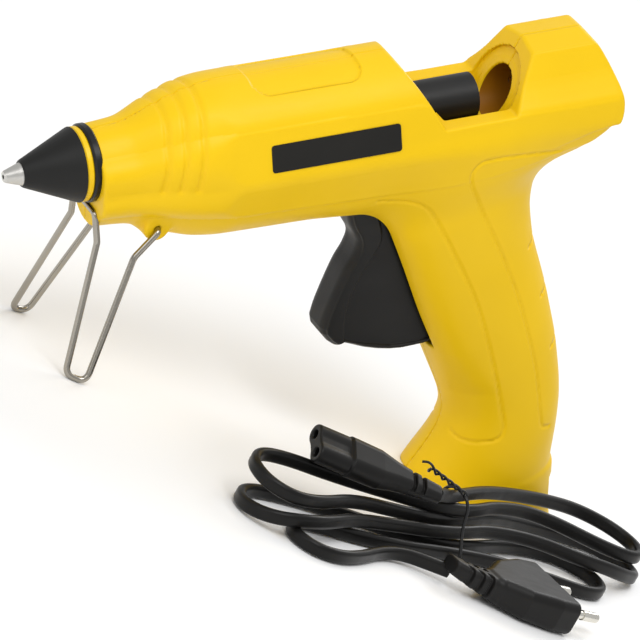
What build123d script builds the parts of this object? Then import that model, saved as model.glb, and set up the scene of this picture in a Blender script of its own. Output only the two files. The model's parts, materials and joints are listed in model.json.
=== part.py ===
"""Glue gun with a wire stand, a trigger-driven stick feed and a detachable mains lead.

Frame: millimetres, +Z up, the tool standing on its wire feet and the foot of its grip, nozzle towards -X.
The origin is under the middle of the tool, on the surface that it stands on.

Most of the tool is laid out in gun coordinates: u runs back along the nozzle's axis from the nozzle's tip,
w is square to it, upwards, and y is across.  The planes below place sketches in them.
"""

import os
from math import cos, radians, sin, sqrt

from build123d import *

os.makedirs("parts", exist_ok=True)

# ---- stance --------------------------------------------------------------------------------------
PITCH = 29.0  # nozzle axis below the level, degrees
TIP_X = -151.08
TIP_HEIGHT = 58.0

BACK = Vector(cos(radians(PITCH)), 0, sin(radians(PITCH)))
UP = Vector(-sin(radians(PITCH)), 0, cos(radians(PITCH)))
TIP = Vector(TIP_X, 0, TIP_HEIGHT)

# ---- casing --------------------------------------------------------------------------------------
WALL = 2.4
NECK_U = 35.0
# Barrel stations: u, top, then (y, w) of the shoulder, waist and hip creases, the keel, the flanks' bulge
BARREL_NOSE = [
    (NECK_U, 14.4, (15.3, 7.3), (19.9, -7.3), (15.3, -18.5), -25.6, 1.5),
    (48.0, 15.3, (15.9, 7.8), (20.6, -7.3), (15.9, -19.0), -26.6, 1.5),
    (60.0, 20.8, (19.3, 10.6), (24.0, -7.3), (19.4, -20.0), -31.5, 1.2),
    (72.0, 25.0, (21.6, 13.1), (27.0, -7.4), (22.4, -21.0), -35.5, 0.5),
    (84.0, 26.6, (22.3, 14.0), (28.0, -7.5), (23.4, -21.8), -37.0, 0.1),
]
BARREL_MAIN = [
    (84.0, 26.6, (22.3, 14.0), (28.0, -7.5), (23.4, -21.8), -37.0, 0.1),
    (156.0, 26.6, (22.3, 12.4), (27.0, -8.3), (22.5, -24.8), -38.5, 0.1),
    (205.0, 26.6, (20.5, 12.0), (24.0, -8.3), (20.5, -23.5), -34.0, 0.1),
    (228.0, 26.6, (20.0, 12.0), (23.0, -8.3), (18.5, -17.5), -26.0, 0.1),
    (243.0, 26.6, (20.0, 12.0), (21.0, -8.3), (14.0, -12.5), -16.5, 0.1),
]
BARREL_FACE = [(155.6, 60.0), (155.6, 26.8), (161.0, 20.0), (173.0, -2.4)]
BLOCK_FACE = [(199.0, -2.4), (203.0, 11.2), (212.0, 22.4), (212.0, 60.0)]
BLOCK_HALF = [(0, 22.2), (12.0, 20.5), (18.0, 9.8), (24.6, 1.5), (25.2, -4.0), (24.0, -8.6), (0, -8.6)]
BLOCK_START_U = 196.0
BLOCK_REAR = [(150, 40), (238.4, 40), (238.4, 22.2), (240.2, 20.5), (245.4, 9.8), (247.8, 1.0), (248.0, -5.0),
              (246.6, -8.8), (243.0, -10.4), (150, -10.4)]
LOW_REAR = [(0, 60), (244.0, 60), (243.5, -9.0), (238.5, -16.0), (228.0, -24.5), (219.0, -32.0), (100, -90),
            (0, -90)]
# Grip levels: w, front u, rear u, half width
GRIP = [
    (-20.0, 140.0, 226.0, 22.0),
    (-34.0, 149.0, 221.5, 21.5),
    (-47.0, 154.0, 219.5, 20.8),
    (-64.0, 160.5, 222.0, 19.6),
    (-86.5, 168.5, 229.0, 19.0),
    (-111.0, 179.0, 235.0, 18.6),
    (-135.0, 189.0, 238.0, 18.8),
    (-147.0, 186.5, 238.4, 20.0),
    (-160.0, 177.0, 238.4, 22.0),
    (-172.0, 168.0, 237.0, 23.0),
    (-215.0, 155.0, 236.0, 23.5),
]
SHROUD_TOP_W = -172.0  # the inlet's shroud stands a little proud of the grip's back
SHROUD_CENTRE_U = 203.4
SHROUD_SIZE = (33.6, 22.4)
SHELF_W = -2.4  # the window's floor

TUBE_HOLE_R = 9.4
STICK_BORE_R = 9.65
STICK_GUIDE_R = 12.2
STICK_GUIDE_U = (198.0, 250.0)
RAIL_INNER_Y = 13.5
NOSE_HOLE_R = 12.9
GROOVES_U = (56.5, 63.0, 69.5)  # at the waist; they lean back towards the top
GROOVE_LEAN = 0.17
GROOVE_HALF = 1.2
GROOVE_BOTTOM_W = -6.0
RELIEF = 0.6  # depth of the moulded grooves and of the panel on top
TOP_PANEL = (97.0, 142.0, 13.0)  # from u, to u, half width

# ---- label plates, one on each side of the barrel ------------------------------------------------
LABEL_CENTRE = (125.6, 1.9, 25.05)  # u, w, y
LABEL_TILT = (0.2355, -0.9719)  # direction down the flank, in y and w
LABEL_SIZE = (53.5, 10.8)
LABEL_THICK = 1.0
LABEL_PROUD = 0.3

# ---- casing screws, driven from the +Y side: u, w ------------------------------------------------
SCREWS = [(96.0, 19.0), (146.0, 18.5), (100.0, -29.5), (140.0, -29.0), (228.0, 16.0), (212.0, -62.0),
          (216.0, -128.0), (197.0, -156.0)]
SCREW_R = 1.45
SCREW_HEAD_R = 2.8
SCREW_HEAD = 1.8
SCREW_SEAT_Y = 9.0
SCREW_TIP_Y = -9.0
SCREW_BOSS_R = 3.4
SCREW_WELL_R = 4.2

# ---- trigger and feed ----------------------------------------------------------------------------
PIVOT = (170.0, -46.0)
TRIGGER_TRAVEL = 18.5  # degrees
TRIGGER_R = 58.0
TRIGGER_HALF = 8.5
TRIGGER_WALL = 2.2
TRIGGER_BORE_R = 2.5
SLOT_HALF = 9.4
FORK_R = 36.0
FORK_HALF = 4.7
FORK_Y = (5.4, 8.4)
CROSS_PIN_REACH = 33.0  # from the trigger's pivot to the carriage's cross pin
CROSS_PIN_R = 1.5
FORK_LEAN = radians(TRIGGER_TRAVEL / 2)
CROSS_PIN = (PIVOT[0] + CROSS_PIN_REACH * sin(FORK_LEAN), PIVOT[1] + CROSS_PIN_REACH * cos(FORK_LEAN))
RUNNING = 0.05  # radial clearance of every turning or sliding fit
TUBE_R = 8.9
TUBE_BORE_R = 6.5
TUBE_U = (141.0, 193.0)
CARRIAGE_U = (146.0, 186.0)
CARRIAGE_W = (-17.5, -7.0)
CARRIAGE_HALF = 5.0
JAW_PIN = (156.0, -12.5)
JAW_PIN_R = 1.2
SPRING_W = -15.4
SPRING_U = (186.6, 212.5)
SPRING_R = 1.8
SPRING_POST = (214.6, SPRING_W)

# ---- nozzle and heater ---------------------------------------------------------------------------
CHAMBER_R = 9.5
CHAMBER_BORE_R = 6.0
CHAMBER_U = (38.0, 116.0)
SEAT_U = 44.0
SEAT_R = 1.8
BALL_R = 2.1
NOZZLE_THREAD_R = 5.0
HEATER_POCKET = (57.0, 93.0, -16.6, -12.9)  # u from, to; w from, to

# ---- stand: one bent wire; its route on the near side, from the middle of the saddle to the boss -
WIRE_R = 1.0
STAND_PIVOT = (57.0, -25.0)
STAND_BOSS_R = 5.2
STAND_BOSS_HALF = 15.0
STAND_END_Y = 9.0
FOOT_DROP = 76.11
STAND_ROUTE = [(33.5, -16.5, 10.2), (33.6, -27.9, 12.6), (16.4, -FOOT_DROP + 1.2, 26.8),
               (23.6, -FOOT_DROP - 1.2, 29.2), (46.7, -34.4, 17.6), (57.0, -25.0, 17.0)]
STAND_RADII = [3.0, 5.0, 3.8, 3.8, 7.0, 2.2]

# ---- mains inlet, facing back out of the grip's foot ---------------------------------------------
INLET_X = TIP_X + 291.0
INLET_Z = 12.5
INLET_SIZE = (18.0, 21.0, 15.0)
SOCKET_SIZE = (15.4, 8.8)
SOCKET_DEPTH = 12.0
PIN_SPACING = 8.6
CONTACT_R = 1.2

# ---- internal heater wires: u, w, y of one of the pair -------------------------------------------
LEAD_WIRE_R = 1.1
LEAD_WIRE_ROUTE = [(207.0, -145.0, 6.0), (206.5, -112.0, 8.0), (205.0, -72.0, 8.0), (203.0, -40.0, 12.0),
                   (190.0, -22.5, 13.0), (112.0, -22.5, 13.0), (101.0, -14.75, 4.0)]
LEAD_WIRE_END = (92.1, -14.75, 4.0)
FUSE_U = (120.0, 134.0)

# ---- detachable lead, lying on the floor on the -Y side ------------------------------------------
HANK_START = Vector(TIP_X + 102.0, -106.0, 0)
HANK_AXIS = Vector(cos(radians(18.9)), sin(radians(18.9)), 0)
# Hank sections: distance along the axis, half width, height, shift to the left of the axis
HANK = [(0.0, 17.0, 12.0, 0.0), (12.0, 22.0, 16.0, 0.0), (45.0, 19.0, 16.5, 0.0), (94.0, 16.5, 19.0, 0.0),
        (135.0, 19.5, 22.0, 1.0), (180.0, 21.5, 20.0, 1.0), (215.0, 19.0, 18.0, 0.0), (234.0, 12.0, 16.0, 1.0)]
HANK_TIE = 94.0
CONNECTOR_FACE = Vector(TIP_X + 126.0, -83.0, 26.5)
CONNECTOR_AXIS = Vector(0.985, -0.12, -0.03).normalized()
CONNECTOR_ROLL = Vector(-0.145, -0.87, -0.47)
# Connector sections: distance from the face, width, height
CONNECTOR = [(0.0, 15.0, 8.2), (14.0, 15.0, 8.2), (15.5, 17.0, 10.4), (30.0, 16.0, 10.0), (38.0, 11.0, 8.0),
             (58.0, 7.6, 5.4)]
PLUG_FACE = Vector(TIP_X + 238.2, -111.7, 7.2)
PLUG_AXIS = Vector(0.979, 0.204, 0).normalized()
# Plug sections: distance behind the face, width, height
PLUG = [(0.0, 35.0, 13.8), (10.0, 34.6, 13.8), (24.0, 27.0, 12.4), (35.5, 13.0, 10.4)]
# Plug neck sections: distance behind the face, sideways, up, width
PLUG_NECK = [(35.0, 0.0, 0.0, 11.0), (44.0, 2.0, -0.9, 9.6), (54.0, 10.0, -2.3, 8.0)]
PLUG_PIN_SPACING = 18.6
PLUG_PIN_R = 2.0
PLUG_PIN_LENGTH = 19.0
PLUG_SLEEVE = 10.0
TIE_WIDTH = 3.2
TIE_THICK = 0.9


def gun_point(u, w, y=0.0):
    """A point given in gun coordinates."""
    return TIP + BACK * u + UP * w + Vector(0, y, 0)


def side_plane(y=0.0):
    """Local x is u, local y is w, facing -Y."""
    return Plane(gun_point(0, 0, y), x_dir=BACK, z_dir=(0, -1, 0))


def cross_plane(u):
    """Local x is y, local y is w, facing back along the nozzle's axis."""
    return Plane(gun_point(u, 0), x_dir=(0, 1, 0), z_dir=BACK)


def level_plane(w):
    """Local x is u, local y is y, facing up from the nozzle's axis."""
    return Plane(gun_point(0, w), x_dir=BACK, z_dir=UP)


NOZZLE_AXIS = Axis(TIP, BACK)


def barrel_lines(station, inset=0.0):
    """The barrel's cross-section: crown, two flanks a side between creases, and keel."""
    _, top, (y1, w1), (y2, w2), (y3, w3), keel, bulge = station
    y1, y2, y3 = y1 - inset, y2 - inset, y3 - inset
    top, w1, w3, keel = top - inset, w1 - inset * 0.3, w3 + inset * 0.4, keel + inset
    upper = (bulge + (y1 + y2) / 2, (w1 + w2) / 2)
    lower = (bulge + (y2 + y3) / 2, (w2 + w3) / 2)
    ThreePointArc((-y1, w1), (0, top), (y1, w1))
    ThreePointArc((y1, w1), upper, (y2, w2))
    ThreePointArc((y2, w2), lower, (y3, w3))
    ThreePointArc((y3, w3), (0, keel), (-y3, w3))
    ThreePointArc((-y3, w3), (-lower[0], lower[1]), (-y2, w2))
    ThreePointArc((-y2, w2), (-upper[0], upper[1]), (-y1, w1))


def mirrored_outline(half):
    """A closed outline from one half, listed from top to bottom at growing y."""
    Polyline(*half, *[(-y, w) for y, w in reversed(half) if y > 0], close=True)


# ---- casing: the solid form, from which both shells are made -------------------------------------
def casing_form(inset):
    """The casing's outer form, or the space inside it when inset by the wall."""
    with BuildPart() as barrel:
        for stations, straight in ((BARREL_NOSE, False), (BARREL_MAIN, True)):
            for station in stations:
                with BuildSketch(cross_plane(station[0])):
                    with BuildLine():
                        barrel_lines(station, inset)
                    make_face()
            loft(ruled=straight)
        with BuildSketch(side_plane()):
            with BuildLine():
                Polyline(*LOW_REAR, close=True)
            make_face()
            if inset:
                offset(amount=-inset, kind=Kind.INTERSECTION)
        extrude(amount=60, both=True, mode=Mode.INTERSECT)
        with BuildSketch(side_plane()):
            with BuildLine():
                Polyline((NECK_U + inset, -90), (260, -90), (260, SHELF_W - inset), (180, SHELF_W - inset),
                         (180, 60), (NECK_U + inset, 60), close=True)
            make_face()
        extrude(amount=60, both=True, mode=Mode.INTERSECT)
    with BuildPart() as block:
        with BuildSketch(cross_plane(BLOCK_START_U)):
            with BuildLine():
                mirrored_outline(BLOCK_HALF)
            make_face()
            if inset:
                offset(amount=-inset, kind=Kind.INTERSECTION)
        extrude(amount=60)
        with BuildSketch(side_plane()):
            with BuildLine():
                Polyline(*BLOCK_REAR, close=True)
            make_face()
            if inset:
                offset(amount=-inset, kind=Kind.INTERSECTION)
        extrude(amount=60, both=True, mode=Mode.INTERSECT)
    with BuildPart() as grip:
        for w, front, rear, half_width in GRIP:
            with BuildSketch(level_plane(w)):
                with Locations(((front + rear) / 2, 0)):
                    Ellipse((rear - front) / 2 - inset, half_width - inset)
        loft()
        with BuildSketch(Plane.XY.offset(inset)):
            Rectangle(600, 200)
        extrude(amount=-120, mode=Mode.SUBTRACT)
    with BuildPart() as shroud:
        with BuildSketch(level_plane(SHROUD_TOP_W - inset)):
            with Locations((SHROUD_CENTRE_U, 0)):
                Ellipse(SHROUD_SIZE[0] - inset, SHROUD_SIZE[1] - inset)
        extrude(amount=-50)
        with BuildSketch(Plane.XY.offset(inset)):
            Rectangle(600, 200)
        extrude(amount=-120, mode=Mode.SUBTRACT)
    with BuildPart() as form:
        add(barrel.part)
        add(block.part)
        add(grip.part)
        add(shroud.part)
        with BuildSketch(side_plane()):
            with BuildLine():
                Polyline(*BARREL_FACE, *BLOCK_FACE, close=True)
            make_face()
            if inset:
                offset(amount=inset, kind=Kind.INTERSECTION)
        extrude(amount=60, both=True, mode=Mode.SUBTRACT)
    return form.part


outer_form = casing_form(0)
inner_space = casing_form(WALL)
relief_form = casing_form(RELIEF)


# ---- casing: both shells -------------------------------------------------------------------------
with BuildPart() as fittings:  # guides and bosses inside the casing, not yet trimmed to its outside
    with BuildSketch(cross_plane(STICK_GUIDE_U[0])):
        Circle(STICK_GUIDE_R)
    extrude(amount=STICK_GUIDE_U[1] - STICK_GUIDE_U[0])
    with BuildSketch(side_plane(-30)):
        with Locations(*SCREWS):
            Circle(SCREW_BOSS_R)
    extrude(amount=-30)
    with BuildSketch(side_plane(0)):
        with Locations(*SCREWS):
            Circle(SCREW_WELL_R)
    extrude(amount=-30)
    for side in (-1, 1):
        with BuildSketch(side_plane(side * SLOT_HALF)):
            with Locations(PIVOT):
                Circle(TRIGGER_BORE_R + 2.6)
        extrude(amount=-side * 20)
    with BuildSketch(side_plane()):
        with Locations(SPRING_POST):
            Circle(1.5)
    extrude(amount=30, both=True)
    add(outer_form, mode=Mode.INTERSECT)

with BuildPart() as stand_bosses:
    with BuildSketch(side_plane()):
        with Locations(STAND_PIVOT):
            Circle(STAND_BOSS_R)
    extrude(amount=STAND_BOSS_HALF, both=True)
    with BuildSketch(side_plane()):
        with Locations(STAND_PIVOT):
            Circle(STAND_BOSS_R + 1)
    extrude(amount=STAND_END_Y - 1.5, both=True, mode=Mode.SUBTRACT)

with BuildPart() as relief:  # grooves round the nose and the panel on top, as shallow cuts
    with BuildSketch(side_plane()):
        for u in GROOVES_U:
            with BuildLine():
                lean = GROOVE_LEAN * 50
                Polyline((u - GROOVE_HALF, GROOVE_BOTTOM_W), (u + GROOVE_HALF, GROOVE_BOTTOM_W),
                         (u + GROOVE_HALF + lean, GROOVE_BOTTOM_W + 50),
                         (u - GROOVE_HALF + lean, GROOVE_BOTTOM_W + 50),
                         close=True)
            make_face()
    extrude(amount=60, both=True)
    with BuildSketch(level_plane(12)):
        with Locations(((TOP_PANEL[0] + TOP_PANEL[1]) / 2, 0)):
            RectangleRounded(TOP_PANEL[1] - TOP_PANEL[0], 2 * TOP_PANEL[2], 6)
    extrude(amount=40)
    add(relief_form, mode=Mode.SUBTRACT)


def label_plane(side, lift):
    """On the barrel's flank, local x along u; side is -1 for -Y, +1 for +Y."""
    u, w, y = LABEL_CENTRE
    tilt_y, tilt_w = LABEL_TILT
    outward = Vector(0, side * -tilt_w, 0) + UP * tilt_y
    return Plane(gun_point(u, w, side * y) + outward * lift, x_dir=BACK, z_dir=outward)


with BuildPart() as label_plate_left:
    with BuildSketch(label_plane(-1, LABEL_PROUD)):
        RectangleRounded(*LABEL_SIZE, 1.2)
    extrude(amount=-LABEL_THICK)

with BuildPart() as label_plate_right:
    with BuildSketch(label_plane(1, LABEL_PROUD)):
        RectangleRounded(*LABEL_SIZE, 1.2)
    extrude(amount=-LABEL_THICK)

with BuildPart() as casing:
    add(outer_form)
    add(inner_space, mode=Mode.SUBTRACT)
    add(fittings.part)
    add(stand_bosses.part)
    add(relief.part, mode=Mode.SUBTRACT)
    add(label_plate_left.part, mode=Mode.SUBTRACT)
    add(label_plate_right.part, mode=Mode.SUBTRACT)
    with BuildSketch(cross_plane(NECK_U - 5)):
        Circle(NOSE_HOLE_R)
    extrude(amount=12, mode=Mode.SUBTRACT)
    with BuildSketch(cross_plane(150)):
        Circle(TUBE_HOLE_R)
    extrude(amount=46, mode=Mode.SUBTRACT)
    with BuildSketch(cross_plane(190)):
        Circle(STICK_BORE_R)
    extrude(amount=70, mode=Mode.SUBTRACT)
    with BuildSketch(level_plane(0)):
        with Locations((186, 0)):
            Rectangle(23, 2 * RAIL_INNER_Y)
    extrude(amount=-8, mode=Mode.SUBTRACT)
    with BuildSketch(side_plane()):  # the trigger's slot, open to the front and into the barrel
        with BuildLine():
            slot_r = TRIGGER_R + 1.2
            deep = 30.0
            start = (PIVOT[0] + deep, PIVOT[1] - sqrt(slot_r**2 - deep**2))
            middle = (PIVOT[0], PIVOT[1] - slot_r)
            end = (PIVOT[0] - deep, start[1])
            ThreePointArc(start, middle, end)
            Polyline(end, (118, -100), (118, -38.9), (152, -38.9), (158, -30), (184, -30), (186, -52), start)
        make_face()
    extrude(amount=SLOT_HALF, both=True, mode=Mode.SUBTRACT)
    with BuildSketch(side_plane()):
        with Locations(PIVOT):
            Circle(TRIGGER_BORE_R)
    extrude(amount=14, both=True, mode=Mode.SUBTRACT)
    with BuildSketch(side_plane()):
        with Locations(STAND_PIVOT):
            Circle(WIRE_R + RUNNING)
    extrude(amount=40, both=True, mode=Mode.SUBTRACT)
    with BuildSketch(side_plane()):
        with Locations(*SCREWS):
            Circle(SCREW_R + RUNNING)
    extrude(amount=-40, mode=Mode.SUBTRACT)
    with BuildSketch(side_plane()):
        with Locations(*SCREWS):
            Circle(SCREW_R + RUNNING)
    extrude(amount=-SCREW_TIP_Y + 0.5, mode=Mode.SUBTRACT)
    with BuildSketch(side_plane(SCREW_SEAT_Y)):
        with Locations(*SCREWS):
            Circle(SCREW_HEAD_R + 0.2)
    extrude(amount=-40, mode=Mode.SUBTRACT)
    with BuildSketch(Plane.YZ.offset(INLET_X - INLET_SIZE[0])):
        with Locations((0, INLET_Z)):
            RectangleRounded(INLET_SIZE[1], INLET_SIZE[2], 2)
    extrude(amount=60, mode=Mode.SUBTRACT)

with BuildPart() as left_shell:
    add(casing.part)
    split(bisect_by=Plane.XZ, keep=Keep.TOP)

with BuildPart() as right_shell:
    add(casing.part)
    split(bisect_by=Plane.XZ, keep=Keep.BOTTOM)

with BuildPart() as shell_screws:
    with BuildSketch(side_plane(SCREW_TIP_Y)):
        with Locations(*SCREWS):
            Circle(SCREW_R)
    extrude(amount=-(SCREW_SEAT_Y - SCREW_TIP_Y))
    with BuildSketch(side_plane(SCREW_SEAT_Y)):
        with Locations(*SCREWS):
            Circle(SCREW_HEAD_R)
    extrude(amount=-SCREW_HEAD)
    with BuildSketch(side_plane(SCREW_SEAT_Y + SCREW_HEAD)):
        with Locations(*SCREWS):
            Rectangle(3.0, 0.7)
            Rectangle(0.7, 3.0)
    extrude(amount=1.0, mode=Mode.SUBTRACT)


# ---- nose ----------------------------------------------------------------------------------------
def turned(*points):
    """A closed half-profile, (u, radius) points, ready to turn about the nozzle's axis."""
    Polyline(*points, close=True)


with BuildPart() as nozzle:
    with BuildSketch(side_plane()):
        with BuildLine():
            turned((0, 0.9), (0, 2.0), (0.6, 2.4), (6.7, 4.4), (28, 4.4), (28.6, 6.2), (35.4, 6.2),
                   (36, NOZZLE_THREAD_R), (SEAT_U, NOZZLE_THREAD_R), (SEAT_U, 2.4), (16, 2.4), (14.5, 0.9))
        make_face()
    revolve(axis=NOZZLE_AXIS)

with BuildPart() as nozzle_sleeve:
    with BuildSketch(side_plane()):
        with BuildLine():
            turned((6.8, 4.45), (6.8, 4.9), (7.4, 5.4), (27.6, 14.2), (28.4, 14.5), (28.6, 14.2), (28.6, 11.8),
                   (25.5, 11.6), (11.5, 5.6), (11.5, 4.45))
        make_face()
    revolve(axis=NOZZLE_AXIS)

with BuildPart() as nose_ring:
    with BuildSketch(side_plane()):
        with BuildLine():
            turned((28.6, 6.25), (28.6, 13.9), (29.2, 14.4), (30.8, 14.4), (31.4, 13.9), (31.4, 6.25))
        make_face()
    revolve(axis=NOZZLE_AXIS)

with BuildPart() as nose_seal:
    with BuildSketch(side_plane()):
        with BuildLine():
            turned((31.4, 6.25), (31.4, 14.5), (32.2, 15.1), (34.2, 15.1), (34.95, 14.5), (34.95, NOSE_HOLE_R),
                   (37.4, NOSE_HOLE_R), (37.4, CHAMBER_R + 0.1), (36.2, CHAMBER_R + 0.1), (36.2, 6.25))
        make_face()
    revolve(axis=NOZZLE_AXIS)

with BuildPart() as melt_chamber:
    with BuildSketch(side_plane()):
        with BuildLine():
            turned((CHAMBER_U[0], NOZZLE_THREAD_R), (CHAMBER_U[0], CHAMBER_R), (CHAMBER_U[1], CHAMBER_R),
                   (CHAMBER_U[1], CHAMBER_BORE_R), (50, CHAMBER_BORE_R), (47, SEAT_R), (SEAT_U, SEAT_R),
                   (SEAT_U, NOZZLE_THREAD_R))
        make_face()
    revolve(axis=NOZZLE_AXIS)
    with BuildSketch(cross_plane(54)):
        with Locations((0, -14.5)):
            Rectangle(15, 11)
    extrude(amount=42)
    with BuildSketch(cross_plane(54)):
        Circle(CHAMBER_BORE_R)
    extrude(amount=60, mode=Mode.SUBTRACT)
    with BuildSketch(side_plane()):
        u0, u1, w0, w1 = HEATER_POCKET
        with Locations(((u0 + u1) / 2, (w0 + w1) / 2)):
            Rectangle(u1 - u0, w1 - w0)
    extrude(amount=10, both=True, mode=Mode.SUBTRACT)
    with BuildSketch(cross_plane(HEATER_POCKET[1] - 1)):
        with Locations((-LEAD_WIRE_END[2], LEAD_WIRE_END[1]), (LEAD_WIRE_END[2], LEAD_WIRE_END[1])):
            Circle(LEAD_WIRE_R + 0.4)
    extrude(amount=6, mode=Mode.SUBTRACT)

with BuildPart() as ptc_heater:
    with BuildSketch(side_plane()):
        with Locations(((HEATER_POCKET[0] + HEATER_POCKET[1]) / 2,
                        (HEATER_POCKET[2] + HEATER_POCKET[3]) / 2)):
            Rectangle(34, 3.5)
    extrude(amount=6, both=True)

with BuildPart() as heater_clip:
    with BuildSketch(cross_plane(68)):
        with Locations((0, -16.0)):
            Rectangle(17.0, 9.6)
        with Locations((0, -15.3)):
            Rectangle(15.2, 9.7, mode=Mode.SUBTRACT)
    extrude(amount=14)

with BuildPart() as inlet_sleeve:
    with BuildSketch(side_plane()):
        with BuildLine():
            turned((110, CHAMBER_R), (110, 11.6), (117.5, 11.6), (119.5, 8.6), (127, 8.6), (127, 6.2),
                   (CHAMBER_U[1], 6.2), (CHAMBER_U[1], CHAMBER_R))
        make_face()
    revolve(axis=NOZZLE_AXIS)

with BuildPart() as sleeve_clamp:
    with BuildSketch(side_plane()):
        with BuildLine():
            turned((111.5, 11.6), (111.5, 12.3), (115.5, 12.3), (115.5, 11.6))
        make_face()
    revolve(axis=NOZZLE_AXIS)

with BuildPart() as valve_ball:
    with Locations(gun_point(SEAT_U - sqrt(BALL_R**2 - SEAT_R**2) - 0.05, 0)):
        Sphere(BALL_R)

with BuildPart() as valve_spring:
    with BuildLine() as valve_coil:
        Helix(pitch=2.4, height=14.4, radius=1.75, center=gun_point(25.6, 0), direction=BACK)
    with BuildSketch(Plane(origin=valve_coil.line @ 0, z_dir=valve_coil.line % 0)):
        Circle(0.28)
    sweep()


# ---- trigger and feed ----------------------------------------------------------------------------
def arm_point(along, aside):
    """A point on the trigger's fork: along its arm from the pivot, and aside from the arm's middle."""
    return (PIVOT[0] + along * sin(FORK_LEAN) + aside * cos(FORK_LEAN),
            PIVOT[1] + along * cos(FORK_LEAN) - aside * sin(FORK_LEAN))


def trigger_outline(inset=0.0):
    """The finger lever's side view, closed, smaller all round by the inset."""
    reach = TRIGGER_R - inset
    toe_u, heel_u = 136.0 + inset, 182.0 - inset
    toe = (toe_u, PIVOT[1] - sqrt(reach**2 - (toe_u - PIVOT[0])**2))
    heel = (heel_u, PIVOT[1] - sqrt(reach**2 - (heel_u - PIVOT[0])**2))
    ThreePointArc(toe, (PIVOT[0] - 6, PIVOT[1] - sqrt(reach**2 - 36)), heel)
    Polyline(heel, (184.0 - inset, -90.0), (178.5 - inset, -62.0), (177.5 - inset, -46.0),
             (171.0, -39.8 - inset), (150.0, -39.8 - inset), (138.0 + inset, -39.8 - inset))
    Spline((138.0 + inset, -39.8 - inset), (141.0 + inset, -48.5), (137.6 + inset, -57.5),
           (130.3 + inset, -73.5), (127.4 + inset, -83.0 + inset / 2))
    Polyline((127.4 + inset, -83.0 + inset / 2), (129.0 + inset, -87.0 + inset / 2), toe)


with BuildPart() as trigger:
    with BuildSketch(side_plane()):
        with BuildLine():
            trigger_outline()
        make_face()
    extrude(amount=TRIGGER_HALF, both=True)
    with BuildSketch(side_plane()):
        with BuildLine():
            trigger_outline(TRIGGER_WALL)
        make_face()
        with Locations((181, -78)):
            Rectangle(14, 40)
    extrude(amount=TRIGGER_HALF - TRIGGER_WALL, both=True, mode=Mode.SUBTRACT)
    with BuildSketch(side_plane()):
        with Locations(PIVOT):
            Circle(6.0)
    extrude(amount=TRIGGER_HALF, both=True)
    for side in (-1, 1):
        with BuildSketch(side_plane(side * FORK_Y[0])):
            with BuildLine():
                Polyline(arm_point(0, -FORK_HALF), arm_point(FORK_R, -FORK_HALF), arm_point(FORK_R, FORK_HALF),
                         arm_point(0, FORK_HALF), close=True)
            make_face()
        extrude(amount=-side * (FORK_Y[1] - FORK_Y[0]))
    with BuildSketch(side_plane()):
        with BuildLine():
            gap = CROSS_PIN_R + 0.15
            Polyline(arm_point(CROSS_PIN_REACH - 3, -gap), arm_point(FORK_R + 2, -gap),
                     arm_point(FORK_R + 2, gap), arm_point(CROSS_PIN_REACH - 3, gap), close=True)
        make_face()
        with Locations(PIVOT):
            Circle(TRIGGER_BORE_R + RUNNING)
    extrude(amount=20, both=True, mode=Mode.SUBTRACT)

with BuildPart() as trigger_pin:
    with BuildSketch(side_plane()):
        with Locations(PIVOT):
            Circle(TRIGGER_BORE_R)
    extrude(amount=13.8, both=True)

with BuildPart() as feed_tube:
    with BuildSketch(side_plane()):
        with Locations(((CARRIAGE_U[0] + CARRIAGE_U[1]) / 2, (CARRIAGE_W[0] + CARRIAGE_W[1]) / 2)):
            Rectangle(CARRIAGE_U[1] - CARRIAGE_U[0], CARRIAGE_W[1] - CARRIAGE_W[0])
    extrude(amount=CARRIAGE_HALF, both=True)
    with BuildSketch(cross_plane(TUBE_U[0])):
        Circle(TUBE_R)
    extrude(amount=TUBE_U[1] - TUBE_U[0])
    with BuildSketch(cross_plane(TUBE_U[0])):
        Circle(TUBE_BORE_R)
    extrude(amount=TUBE_U[1] - TUBE_U[0], mode=Mode.SUBTRACT)
    with BuildSketch(side_plane()):
        with Locations((155.5, -12)):
            Rectangle(17, 16)
    extrude(amount=2.7, both=True, mode=Mode.SUBTRACT)
    with BuildSketch(side_plane()):
        with Locations(CROSS_PIN):
            Circle(CROSS_PIN_R)
        with Locations(JAW_PIN):
            Circle(JAW_PIN_R)
    extrude(amount=10, both=True, mode=Mode.SUBTRACT)

with BuildPart() as carriage_pin:
    with BuildSketch(side_plane()):
        with Locations(CROSS_PIN):
            Circle(CROSS_PIN_R)
    extrude(amount=FORK_Y[1] - 0.2, both=True)

with BuildPart() as grip_jaw:
    with BuildSketch(side_plane()):
        with BuildLine():
            Polyline((149.0, -6.9), (150.6, -8.2), (151.0, -7.0), (152.6, -8.3), (153.0, -7.2), (154.8, -8.6),
                     (160.4, -10.2), (160.6, -15.6), (153.0, -16.6), (149.4, -12.0), close=True)
        make_face()
        with Locations(JAW_PIN):
            Circle(JAW_PIN_R + RUNNING, mode=Mode.SUBTRACT)
    extrude(amount=2.4, both=True)

with BuildPart() as jaw_pin:
    with BuildSketch(side_plane()):
        with Locations(JAW_PIN):
            Circle(JAW_PIN_R)
    extrude(amount=CARRIAGE_HALF - 0.1, both=True)

with BuildPart() as return_spring:
    with BuildLine() as return_coil:
        Helix(pitch=1.33, height=SPRING_U[1] - SPRING_U[0], radius=SPRING_R,
              center=gun_point(SPRING_U[0], SPRING_W), direction=BACK)
    with BuildSketch(Plane(origin=return_coil.line @ 0, z_dir=return_coil.line % 0)):
        Circle(0.35)
    sweep()


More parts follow.
